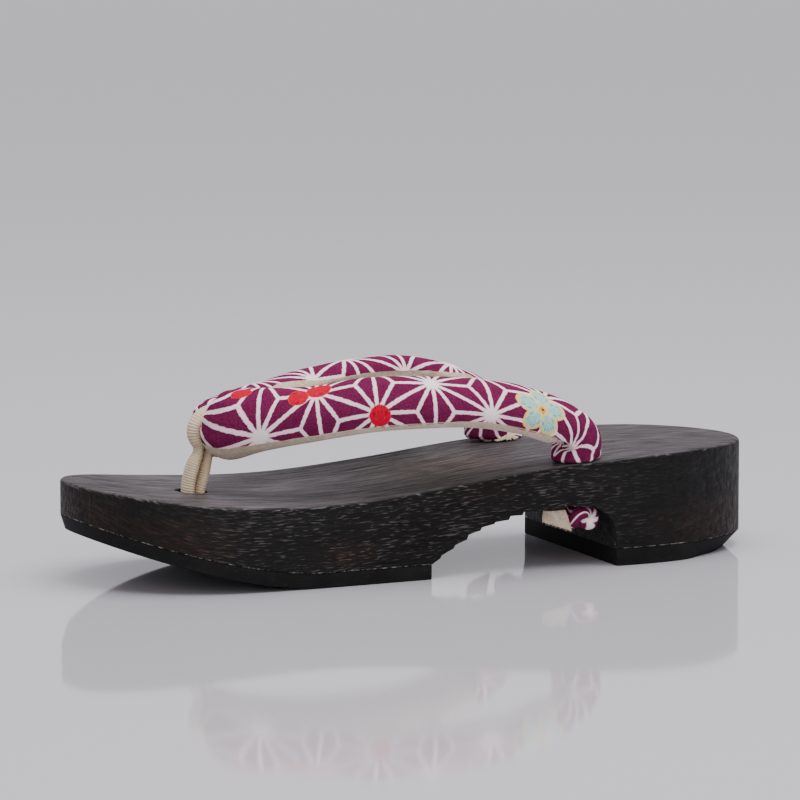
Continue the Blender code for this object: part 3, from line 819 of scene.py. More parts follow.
def creased(rings, along_of, around_of):
    """The rings with their creases pressed in, towards the middle of the roll."""
    sides = len(rings[0])
    pressed = []
    for ring, along, around in zip(rings, along_of, around_of):
        middle = sum(ring, Vector()) / sides
        made = []
        for side, point in enumerate(ring):
            place = around[side] if side in around else around[side - sides]
            depth = pressed_in(along, place) if SMOOTH_NOSE <= abs(along) <= SMOOTH_FOOT else 0.0
            made.append(point - (point - middle).normalized() * depth)
        pressed.append(made)
    return pressed


def corners_of(piece, face, sides):
    """Each corner of a lofted piece's face, with its ring and its side."""
    return [(corner, *divmod(piece.data.loops[corner].vertex_index, sides)) for corner in face.loop_indices]


def lay_cloth(piece, rings, along_of, around_of):
    """The cloth's own measure, as a UV map in metres: along the strap from the nose, and round it from its crest,
    less what the cloth has slipped round."""
    sides = len(rings[0])
    crest, under = sides // 4, 3 * sides // 4
    slipped = [row_value(SLIPS, "around", along) for along in along_of]
    drawn = [row_value(SLIPS, "drawn", along) for along in along_of]
    layer = piece.data.uv_layers.new(name="cloth")
    for face in piece.data.polygons:
        corners = corners_of(piece, face, sides)
        outer = any(side > under or side < crest for _, _, side in corners)
        for corner, ring, side in corners:
            place = side - sides if outer and side >= under else side
            layer.data[corner].uv = (along_of[ring] - drawn[ring], around_of[ring][place] - slipped[ring])


def down_the_foot(rings, feet, start):
    """How far each ring of the foot lies from the nose, from the board up to the first section."""
    far = [start]
    for near, after in zip(rings[feet:0:-1], rings[feet - 1 :: -1]):
        far.append(far[-1] + (near[0] - after[0]).length)
    return far[:0:-1]


# A loose thread of a torn edge: how many rings it has, how deep it is rooted, how it curls and how it thins out
THREAD_THICKNESS = 0.00016
THREAD_RINGS = 5
THREAD_ROOT = 0.0002
THREAD_CURL = 1.2
THREAD_TAPER = 0.7


def strand(start, way, length, seed):
    """One loose thread of a torn edge: thin, and curling as it goes."""
    across = way.orthogonal().normalized()
    over = across.cross(way).normalized()
    rings = []
    for step in range(THREAD_RINGS):
        share = step / (THREAD_RINGS - 1)
        bend = Vector((waver_at(seed, share, 0), waver_at(seed, share, 9), 0)) * THREAD_CURL
        middle = start + (way + bend * share) * length * share
        radius = THREAD_THICKNESS / 2 * (1 - THREAD_TAPER * share)
        rings.append([middle + (across * math.cos(t) + over * math.sin(t)) * radius for t in turns_round(4)])
    return rings


# The lining's end comes out under the right foot, on its inner side, as a narrow frill with torn threads
HEM_STEPS = 44
HEM_PLACE = Vector((REAR_HOLE_X + 0.0025, -REAR_HOLE_Y, 0))
HEM_TURNS = (112, 22)
HEM_ROOT = 0.0070
HEM_REACH = 0.0090
HEM_PLY = 0.0004
HEM_WAVE = 0.0012
HEM_RAGGED = 0.0009
HEM_ROOT_UP = 0.0024
HEM_TIP_UP = 0.0006
HEM_CURL = 0.0016


def make_hem():
    band, threads = [], []
    for step in range(HEM_STEPS + 1):
        share = step / HEM_STEPS
        turn = math.radians(mix(*HEM_TURNS, share))
        outward = Vector((math.cos(turn), math.sin(turn), 0))
        frill = HEM_WAVE * waver_at(share * 7, 0, 3)
        frill += HEM_RAGGED * waver_at(share * 23, 5, 1)
        root = HEM_PLACE + outward * HEM_ROOT
        tip = HEM_PLACE + outward * (HEM_REACH + frill)
        root.z = deck_height(root.x) + HEM_ROOT_UP
        tip.z = deck_height(tip.x) + HEM_TIP_UP + HEM_CURL * abs(waver_at(share * 17, 8, 6))
        ply = Vector((0, 0, HEM_PLY / 2))
        band.append([root - ply, root + ply, tip + ply, tip - ply])
        length = 0.0006 + 0.0008 * abs(waver_at(step * 1.7, 2, 4))
        way = (outward - ply * 900).normalized()
        threads.append(strand(tip - outward * THREAD_ROOT, way, length, step * 2.3))
    return [band] + threads


def make_strap():
    full, lean = strap_sections(True), strap_sections(False)
    foot = foot_rings(CLOTH_SIDES, 0.0)
    left = foot + [body_ring(s) for s in full]
    right = foot_rings(CLOTH_SIDES, RIGHT_FORWARD[0]) + [body_ring(s) for s in lean]
    reach = lengths_from_nose(full)
    along = down_the_foot(left, len(foot), reach[0]) + reach
    along_of = along + [-value for value in along[-2::-1]]
    rings = both_arms(left, right)
    around_of = around_each(rings)
    strap = loft("strap_cloth", creased(rings, along_of, around_of))
    lay_cloth(strap, rings, along_of, around_of)
    bands = []
    arms = ((full, LEFT_CLIMB, LEFT_LIFT, 0.0), (lean, RIGHT_CLIMB, RIGHT_LIFT, 30.0))
    for sections, climbs, lifts, seed in arms:
        first = round(LINING_START * STEPS_PER_ROW)
        band = []
        for i, section in enumerate(sections[first:]):
            climb = smooth_through(range(len(climbs)), climbs, (first + i) / STEPS_PER_ROW)
            lift = smooth_through(range(len(lifts)), lifts, (first + i) / STEPS_PER_ROW)
            ragged = LINING_RAGGED * waver_at(i * LINING_RAGGED_STEP, seed, 0.0)
            taper = math.sin(math.pi / 2 * min((i + 1) / LINING_TAPER, 1.0))
            band.append(lining_ring(section, math.radians(climb), lift, ragged, taper))
        bands.append(band)
    lining = loft("strap_lining_cloth", both_arms(*bands), strands=make_hem())
    return settle(strap, SHARP_CLOTH), settle(lining, SHARP_CLOTH)


# The toe loop

LoopPoint = namedtuple("LoopPoint", "x z thickness width")


def leg_path(leg, hole_x, ring_point):
    deck = deck_height(FRONT_HOLE_X)
    width = FRONT_HOLE * LEG_FILL
    points = []
    for row in leg:
        x = mix(hole_x, ring_point.x, row.toward)
        z = mix(deck, ring_point.z, row.up)
        points.append(LoopPoint(x, z, LEG_THICKNESS * row.thick, width * row.wide))
    return points


def loop_path():
    """Along the cord: up the front leg, round the nose, and down the rear leg."""
    nose = nose_centre()
    across = NOSE_LENGTH / 2 + CORD_GAP + CORD_THICKNESS / 2
    rise = NOSE_HEIGHT / 2 + CORD_GAP + CORD_THICKNESS / 2
    around = []
    for step in range(RING_STEPS + 1):
        turn = math.radians(mix(RING_START, RING_END, step / RING_STEPS))
        x = nose.x + across * math.cos(turn)
        z = nose.z + rise * math.sin(turn)
        around.append(LoopPoint(x, z, CORD_THICKNESS, CORD_WIDTH))
    low = pocket_roof() - CLEARANCE
    pair_x = FRONT_HOLE_X - LEG_SETBACK
    apart = LEG_THICKNESS + CORD_GAP
    front = leg_path(FRONT_LEG, pair_x + apart / 2, around[0])
    rear = leg_path(REAR_LEG, pair_x - apart / 2, around[-1])
    return [front[0]._replace(z=low)] + front + around + rear + [rear[-1]._replace(z=low)]


CORD_SIDES = 24
RIB_SPACING = 0.0008
RIB_DEPTH = 0.00012
RINGS_PER_RIB = 5


def make_loop():
    coarse = loop_path()
    places = [0.0]
    for near, after in zip(coarse, coarse[1:]):
        places.append(places[-1] + math.hypot(after.x - near.x, after.z - near.z))
    columns = [[point[k] for point in coarse] for k in range(4)]
    count = round(places[-1] / RIB_SPACING * RINGS_PER_RIB)
    path = []
    for step in range(count + 1):
        at = places[-1] * step / count
        path.append((at, LoopPoint(*[smooth_through(places, column, at) for column in columns])))
    rings = []
    for i, (at, point) in enumerate(path):
        before, after = path[max(i - 1, 0)][1], path[min(i + 1, count)][1]
        along = Vector((after.x - before.x, 0, after.z - before.z)).normalized()
        inward = Vector((-along.z, 0, along.x))
        swell = RIB_DEPTH * math.cos(2 * math.pi * at / RIB_SPACING)
        ring = []
        for turn in turns_round(CORD_SIDES):
            sideways = Vector((0, (point.width / 2 + swell) * math.cos(turn), 0))
            up = inward * ((point.thickness / 2 + swell) * math.sin(turn))
            ring.append(Vector((point.x, 0, point.z)) + sideways + up)
        rings.append(ring)
    loop = loft("toe_loop_cord", rings)
    groove = loop.data.attributes.new("groove", "FLOAT", "POINT")
    for index, value in enumerate(groove.data):
        at = path[index // CORD_SIDES][0]
        value.value = 0.5 - 0.5 * math.cos(2 * math.pi * at / RIB_SPACING)
    return settle(loop, SHARP_CORD)


# The knots and the loose ends. The knots are tied in cloth from beyond the strap's printed flowers.
KNOT_CLOTH = 0.2
KNOT_STEPS = 108
KNOT_SIDES = 18
KNOT_FOLD = 0.07
KNOT_FLAT = 0.93


def tie_knot(name, centre, size, thick):
    """An overhand knot pulled tight: three lobes, each passing over the next, inside a box of the given size."""
    line = []
    for turn in turns_round(KNOT_STEPS):
        x = math.sin(turn) + 2 * math.sin(2 * turn)
        y = math.cos(turn) - 2 * math.cos(2 * turn)
        line.append(Vector((x, y, -math.sin(3 * turn))))
    for axis in range(3):
        low = min(point[axis] for point in line)
        high = max(point[axis] for point in line)
        for point in line:
            share = (point[axis] - low) / (high - low) - 0.5
            point[axis] = centre[axis] + share * (size[axis] - thick)
    rings, along_of = [], [0.0]
    for step, point in enumerate(line):
        before, after = line[step - 1], line[(step + 1) % KNOT_STEPS]
        along_of.append(along_of[-1] + (after - point).length)
        forward = (after - before).normalized()
        outward = (point - centre).normalized()
        outward = (outward - forward * outward.dot(forward)).normalized()
        aside = forward.cross(outward)
        ring = []
        for turn in turns_round(KNOT_SIDES):
            fold = 1 + KNOT_FOLD * math.sin(3 * turn + 5 * step / KNOT_STEPS * 2 * math.pi)
            reach = thick / 2 * fold * 0.97
            ring.append(point + outward * math.cos(turn) * reach * KNOT_FLAT + aside * math.sin(turn) * reach)
        rings.append(ring)
    knot = loft(name, rings, round_again=True)
    layer = knot.data.uv_layers.new(name="cloth")
    for face in knot.data.polygons:
        corners = corners_of(knot, face, KNOT_SIDES)
        last_ring = any(ring == KNOT_STEPS - 1 for _, ring, _ in corners)
        last_side = any(side == KNOT_SIDES - 1 for _, _, side in corners)
        for corner, ring, side in corners:
            along = along_of[KNOT_STEPS if last_ring and ring == 0 else ring]
            around = (KNOT_SIDES if last_side and side == 0 else side) / KNOT_SIDES
            layer.data[corner].uv = (along + KNOT_CLOTH, math.pi * thick * around)
    return settle(knot, SHARP_CORD)


# The loose ends are folded double, and torn
TAIL_PLY = 0.0007
TAIL_ACROSS = 22
TAIL_DOWN = 12
TAIL_RIPPLE = 0.0003
FRAYED_THREADS = 34


def make_tail(name, side):
    """The end of the lining, folded double in front of the knot, its torn edge hanging."""
    knot_centre = rear_knot_centre(side)
    top = knot_centre.z + KNOT_HEIGHT * TAIL_START
    start = knot_centre.x + KNOT_LENGTH / 2 + CLEARANCE + TAIL_THICKNESS / 2
    middle_y = REAR_HOLE_Y + TAIL_SHIFT

    def outline_at(down):
        """The two plies seen from above: out along one, round the fold, back along the other."""
        spread = (TAIL_THICKNESS - TAIL_PLY) / 2
        there, back = [], []
        for face, ply in ((1, 1), (1, -1), (-1, 1), (-1, -1)):
            row = []
            for step in range(TAIL_ACROSS + 1):
                share = step / TAIL_ACROSS
                reach = share * (1.0 if face * ply > 0 else 0.9)
                narrow = math.sqrt(max(1 - reach**6, 0.0))
                off = (face * spread + ply * TAIL_PLY / 2) * narrow
                wave = TAIL_THICKNESS * TAIL_WAVE * math.sin(reach * math.pi + down)
                ripple = TAIL_RIPPLE * math.sin(reach * 9 + down * 3 + side)
                x = start + TAIL_LENGTH * reach - TAIL_THICKNESS * down * (1 - reach)
                drop = TAIL_DROP * mix(1.0, TAIL_END_DROP, reach) * down
                row.append(Vector((x, side * (middle_y + wave + ripple + off), top - drop)))
            (there if ply > 0 else back).append(row)
        outer_up, inner_down = there
        outer_down, inner_up = back
        return outer_up[:-1] + inner_up[::-1][:-1] + inner_down[:-1] + outer_down[::-1]

    rings = [outline_at(row / TAIL_DOWN) for row in range(TAIL_DOWN + 1)]
    lowest = rings[-1]
    threads = []
    for k in range(FRAYED_THREADS):
        root = lowest[k * len(lowest) // FRAYED_THREADS] + Vector((0, 0, THREAD_ROOT))
        length = 0.0007 + 0.0008 * abs(waver_at(k * 1.7, side, 4))
        threads.append(strand(root, Vector((0, 0, -1)), length, k * 2.3 + side))
    return settle(loft(name, rings, strands=threads), SHARP_CLOTH)


def make_ends():
    toe_top = pocket_roof() - 2 * CLEARANCE
    centre = Vector((FRONT_HOLE_X, 0, toe_top - TOE_KNOT_HEIGHT / 2))
    size = Vector((TOE_KNOT_LENGTH, TOE_KNOT_WIDTH, TOE_KNOT_HEIGHT))
    toe_knot = tie_knot("toe_knot_cord", centre, size, TOE_KNOT_THICK)
    size = Vector((KNOT_LENGTH, KNOT_WIDTH, KNOT_HEIGHT))
    pairs = []
    for side, hand in ((1, "left"), (-1, "right")):
        knot = tie_knot(hand + "_knot_cloth", rear_knot_centre(side), size, KNOT_THICK)
        pairs.append((hand, knot, make_tail(hand + "_tail_cloth", side)))
    return toe_knot, pairs


# Materials


def linear(colour):
    """An sRGB hex colour as the shader's linear one."""
    parts = [int(colour[i : i + 2], 16) / 255 for i in (1, 3, 5)]
    return (*[c / 12.92 if c <= 0.04045 else ((c + 0.055) / 1.055) ** 2.4 for c in parts], 1.0)


def add_node(tree, kind, *feeds, **named):
    """Adds one node and gives its outputs. The feeds go to its sockets in order. A name is a socket's or a
    setting's, and a text for a socket is a hex colour."""
    made = tree.nodes.new("ShaderNode" + kind)
    sockets = {socket.identifier: socket for socket in made.inputs}
    fed = list(zip(made.inputs, feeds))
    for name, value in named.items():
        if name in sockets:
            fed.append((sockets[name], value))
        else:
            setattr(made, name, value)
    for socket, value in fed:
        if isinstance(value, bpy.types.NodeSocket):
            tree.links.new(value, socket)
        else:
            socket.default_value = linear(value) if isinstance(value, str) else value
    return made.outputs


def start_material(name, **shader):
    """A new material with its shader's own values, and the function that adds nodes to it."""
    made = bpy.data.materials.new(name)
    made.use_nodes = True
    bsdf = made.node_tree.nodes["Principled BSDF"]
    for key, value in shader.items():
        bsdf.inputs[key.replace("_", " ")].default_value = value
    return made, partial(add_node, made.node_tree)


def finish_material(made, add, colour, *reliefs, rough=None):
    """Joins the colour and roughness to the shader, and the reliefs as its normal, each over the one before. A
    relief is its strength, its depth in metres and its height."""
    tree = made.node_tree
    bsdf = tree.nodes["Principled BSDF"]
    tree.links.new(colour, bsdf.inputs["Base Color"])
    if rough:
        tree.links.new(rough, bsdf.inputs["Roughness"])
    under = {}
    for strength, depth, height in reliefs:
        under["Normal"] = add("Bump", Strength=strength, Distance=depth, Height=height, **under)["Normal"]
    tree.links.new(under["Normal"], bsdf.inputs["Normal"])
    return made


SOFT = {"interpolation_type": "SMOOTHSTEP"}


def in_millimetres(add, place):
    return add("VectorMath", place, Scale=1000.0, operation="SCALE")["Vector"]


def drawn_out(add, place, cells, **noise_values):
    """Noise with so many cells to the millimetre, or to the unit of its place, each way."""
    place = add("VectorMath", place, cells, operation="MULTIPLY")["Vector"]
    return add("TexNoise", place, Scale=1.0, **noise_values)[0]


def joined(add, operation, values):
    """One value out of several, two at a time."""
    return reduce(lambda one, other: add("Math", one, other, operation=operation)[0], values)


# The print: hemp leaves, which are triangles of lines with stars where they meet, and blossoms.
# Millimetres on the cloth.
LEAF_EDGE = 20.6
LEAF_HEIGHT = LEAF_EDGE * math.sqrt(3) / 2
STAR_PLACE = (20.9, 10.3, 0)
STAR_RADIUS = 2.3
LINE_HALF = 0.58
LINE_SOFT = 0.14
WAVER = 0.75
FAR_OFF = 99.0

RED = ("#9e0021", "#d40b39", "#d4412c")
AQUA = ("#5aa8a5", "#c4e2dd", "#f0cb74")
BLOSSOMS = table(
    "along around turn petals reach length width fill thread rim",
    (57.2, 14.4, -90, 1, 3.4, 3.4, 3.3, *RED),
    (36.4, -0.2, 168, 1, 3.4, 3.2, 2.8, *RED),
    (36.0, -1.0, -4, 1, 3.5, 4.0, 3.0, *RED),
    (14.8, -4.2, 14, 1, 0.0, 3.4, 1.9, *RED),
    (109.1, 5.0, -90, 5, 4.9, 3.9, 3.25, *AQUA),
    (78.0, -17.5, 0, 5, 4.6, 3.8, 2.8, *RED),
    (-33.0, 14.0, 40, 5, 5.0, 3.5, 2.75, *AQUA),
    (-70.5, 12.0, 10, 5, 4.6, 4.0, 2.8, *RED),
    (-108.0, 15.5, -50, 5, 5.0, 3.5, 2.75, *AQUA),
)


def hemp_leaves(add, place):
    """How far each place is from the nearest line of the print, and from the nearest star, in millimetres."""
    star = add("VectorMath", place, STAR_PLACE, operation="SUBTRACT")["Vector"]
    nearest = []
    for degrees in (90, 30, 150):
        way = (math.cos(math.radians(degrees)), math.sin(math.radians(degrees)), 0)
        over = (-way[1] / LEAF_HEIGHT, way[0] / LEAF_HEIGHT, 0)
        step = tuple(part / (LEAF_EDGE / 2) for part in way)
        across = add("VectorMath", star, over, operation="DOT_PRODUCT")["Value"]
        down = add("VectorMath", star, step, operation="DOT_PRODUCT")["Value"]
        edge = add("Math", across, 0.5, operation="PINGPONG")[0]
        edge = add("Math", edge, LEAF_HEIGHT, operation="MULTIPLY")[0]
        # From a star a spoke runs to the middle of each leaf, and stops there
        row = add("Math", down, operation="ROUND")[0]
        half_row = add("Math", across, row, operation="ADD")[0]
        half_row = add("Math", half_row, 0.5, operation="MULTIPLY")[0]
        apart = add("Math", half_row, 0.5, operation="PINGPONG")[0]
        past = add("Math", apart, 1 / 3, operation="GREATER_THAN")[0]
        spoke = add("Math", down, 0.5, operation="PINGPONG")[0]
        spoke = add("Math", spoke, LEAF_EDGE / 2, operation="MULTIPLY")[0]
        spoke = add("Math", past, FAR_OFF, spoke, operation="MULTIPLY_ADD")[0]
        nearest.append(add("Math", edge, spoke, operation="MINIMUM")[0])
        if degrees == 90:
            along = add("Math", apart, 2 * LEAF_HEIGHT, operation="MULTIPLY")[0]
            off = add("Math", spoke, spoke, operation="MULTIPLY")[0]
            off = add("Math", along, along, off, operation="MULTIPLY_ADD")[0]
            from_star = add("Math", off, operation="SQRT")[0]
    return joined(add, "MINIMUM", nearest), from_star


def blossom_over(add, place, colour, blossom):
    """The print's colour with one blossom over it: embroidered petals with a rim, and a small heart."""
    whole = blossom.petals == 5
    off = add("VectorMath", place, (blossom.along, blossom.around, 0), operation="SUBTRACT")["Vector"]
    parts = add("SeparateXYZ", off)
    turn = add("Math", parts["Y"], parts["X"], operation="ARCTAN2")[0]
    each = 2 * math.pi / blossom.petals
    start = 5 - math.radians(blossom.turn) / each
    share = add("Math", turn, 1 / each, start, operation="MULTIPLY_ADD")[0]
    swing = add("Math", share, 0.5, operation="PINGPONG")[0]
    swing = add("Math", swing, each, operation="MULTIPLY")[0]
    far = add("VectorMath", off, operation="LENGTH")["Value"]
    out = add("Math", far, add("Math", swing, operation="COSINE")[0], -blossom.reach, operation="MULTIPLY_ADD")[0]
    out = add("Math", out, 1 / blossom.length, operation="MULTIPLY")[0]
    wide = add("Math", far, add("Math", swing, operation="SINE")[0], operation="MULTIPLY")[0]
    wide = add("Math", wide, 1 / blossom.width, operation="MULTIPLY")[0]
    petal = add("Math", out, out, operation="MULTIPLY")[0]
    petal = add("Math", wide, wide, petal, operation="MULTIPLY_ADD")[0]
    inside = add("MapRange", petal, 0.94, 1.08, 1.0, 0.0)[0]
    if whole:
        beside = add("MapRange", wide, 0.0, 0.34, 1.0, 0.0)[0]
        tip = add("Math", add("Math", out, 0.0, operation="MAXIMUM")[0], 3.0, operation="POWER")[0]
        notch = add("Math", tip, beside, operation="MULTIPLY")[0]
        petal = add("Math", notch, 0.42, petal, operation="MULTIPLY_ADD")[0]
    kept = 0.52 if whole else 0.80
    filled = add("MapRange", petal, kept, kept + 0.16, 1.0, 0.0)[0]
    rays = add("CombineXYZ", add("Math", swing, 46.0, operation="MULTIPLY")[0], far)["Vector"]
    threads = add("TexNoise", rays, Scale=0.55, Detail=2.0)[0]
    shade = add("MapRange", threads, 0.35, 0.62)[0]
    fill = add("Mix", shade, A_Color=blossom.fill, B_Color=blossom.thread, data_type="RGBA")[2]
    drawn = add("Mix", filled, A_Color=blossom.rim, B_Color=fill, data_type="RGBA")[2]
    colour = add("Mix", inside, A_Color=colour, B_Color=drawn, data_type="RGBA")[2]
    for near, beyond, tone in ((0.9, 1.2, "#d9a34e"), (0.35, 0.55, "#7a1f2c")) if whole else ():
        heart = add("MapRange", far, near, beyond, 1.0, 0.0)[0]
        colour = add("Mix", heart, A_Color=colour, B_Color=tone, data_type="RGBA")[2]
    return colour


def printed_crepe():
    """Cotton crepe, woven with twisted threads that pucker it, then printed. It gives the eye a dull surface with a
    fine pebble of about 0.5 mm, and a print whose edges waver with the threads. Nap lightens it at its rims."""
    sheen = {"Sheen_Weight": 0.025, "Sheen_Roughness": 0.4, "Sheen_Tint": linear("#e9c8dc")}
    made, add = start_material("printed_cotton_crepe", Roughness=0.9, Specular_IOR_Level=0.05, **sheen)
    flat = in_millimetres(add, add("UVMap", uv_map="cloth")["UV"])
    waver = add("TexNoise", flat, Scale=0.9, Detail=3.0, Roughness=0.6)["Color"]
    level = add("VectorMath", waver, (0.5, 0.5, 0.5), operation="SUBTRACT")["Vector"]
    place = add("VectorMath", level, (WAVER, WAVER, WAVER), flat, operation="MULTIPLY_ADD")["Vector"]
    from_line, from_star = hemp_leaves(add, place)
    lines = add("MapRange", from_line, LINE_HALF - LINE_SOFT, LINE_HALF + LINE_SOFT, 1.0, 0.0, **SOFT)[0]
    dots = add("MapRange", from_star, STAR_RADIUS - 0.5, STAR_RADIUS + 0.35, 1.0, 0.0, **SOFT)[0]
    white = add("Math", lines, dots, operation="MAXIMUM")[0]

    mottle = add("TexNoise", flat, Scale=0.22, Detail=4.0, Roughness=0.65)[0]
    pebble = add("TexNoise", flat, Scale=1.9, Detail=2.0, Roughness=0.55)[0]
    ground = add("Mix", mottle, A_Color="#531038", B_Color="#7e2450", data_type="RGBA")[2]
    # Painted shade: the ground is darker in the hollows of the pebble, where its bump is low
    hollow_shade = add("MapRange", pebble, 0.35, 0.62, 0.66, 1.14)[0]
    ground = add("VectorMath", ground, Scale=hollow_shade, operation="SCALE")["Vector"]
    bleached = add("Mix", mottle, A_Color="#f5cddb", B_Color="#ffe9f1", data_type="RGBA")[2]
    bleached = add("Mix", dots, A_Color=bleached, B_Color="#f8ecea", data_type="RGBA")[2]
    colour = add("Mix", white, A_Color=ground, B_Color=bleached, data_type="RGBA")[2]
    for blossom in BLOSSOMS:
        colour = blossom_over(add, place, colour, blossom)
    weave = add("TexNoise", flat, Scale=4.2, Detail=1.0)[0]
    return finish_material(made, add, colour, (0.6, 0.0003, pebble), (0.5, 0.00008, weave))


# The block of wood was sawn with its pith below and beside the heel, so the rings rise over the deck in long curves.
# Millimetres.
PITH_BELOW = 58.0
PITH_ASIDE = -14.0
PITH_RISE = 0.012
RING_SPACING = 3.4
RING_SWAY = 7.0
RING_TREMBLE = 0.9

# How many cells of noise lie in a millimetre of the wood: along the board, across it and up. A dash's are along it,
# out from the pith and, to the radian, round it, and a pore's or a hair's are told by the dash's or the streak's.
SWAY_CELLS = (0.009, 0.03, 0.03)
TREMBLE_CELLS = (0.06, 0.3, 0.3)
DASH_CELLS = (0.29, 2.75, 9.0)
PORE_CELLS = (1.7, 2.3, 2.3)
PATCH_CELLS = (0.028, 0.06, 0.09)
STREAK_CELLS = (0.05, 1.15, 0.3)
HAIR_CELLS = (2.1, 3.1, 2.0)
SWELL_CELLS = (0.062, 0.36, 0.3)

# Places worn brown on the incline of the deck, at the toe's lower side and round the heel block, in millimetres: the
# middle, and how far they reach each way
WARM_PLACES = (
    ((-8.0, 8.0, 32.0), (30.0, 46.0, 14.0)),
    ((97.0, 28.0, 17.0), (30.0, 34.0, 13.0)),
    ((116.0, 10.0, 22.0), (14.0, 34.0, 15.0)),
    ((38.0, 40.0, 11.0), (16.0, 10.0, 5.0)),
    ((-98.0, 24.0, 12.0), (32.0, 40.0, 12.0)),
    ((-116.0, 0.0, 22.0), (12.0, 40.0, 16.0)),
)

# How the deck's tone changes between two places along it, in millimetres: painted shade darkens it in the hollow
# behind the ball of the foot, a painted highlight brightens it under the ball, where it is also polished smoother,
# and painted shade darkens it again at the toe
DECK_PAINTED_LIGHT = ((-20.0, -4.0, 0.72), (15.0, 55.0, 1.75), (75.0, 100.0, 0.76))

# The dashes and the relief are strong in the middle of the board, and fade between these distances from it
GRAIN_MIDDLE = 10.0
GRAIN_FADE = (50.0, 88.0)


def worn_brown(add, flat):
    """How brown each place is."""
    near = []
    for centre, size in WARM_PLACES:
        off = add("VectorMath", flat, centre, operation="SUBTRACT")["Vector"]
        off = add("VectorMath", off, tuple(1 / part for part in size), operation="MULTIPLY")["Vector"]
        far = add("VectorMath", off, operation="LENGTH")["Value"]
        near.append(add("MapRange", far, 0.3, 1.0, 1.0, 0.0, **SOFT)[0])
    return joined(add, "MAXIMUM", near)


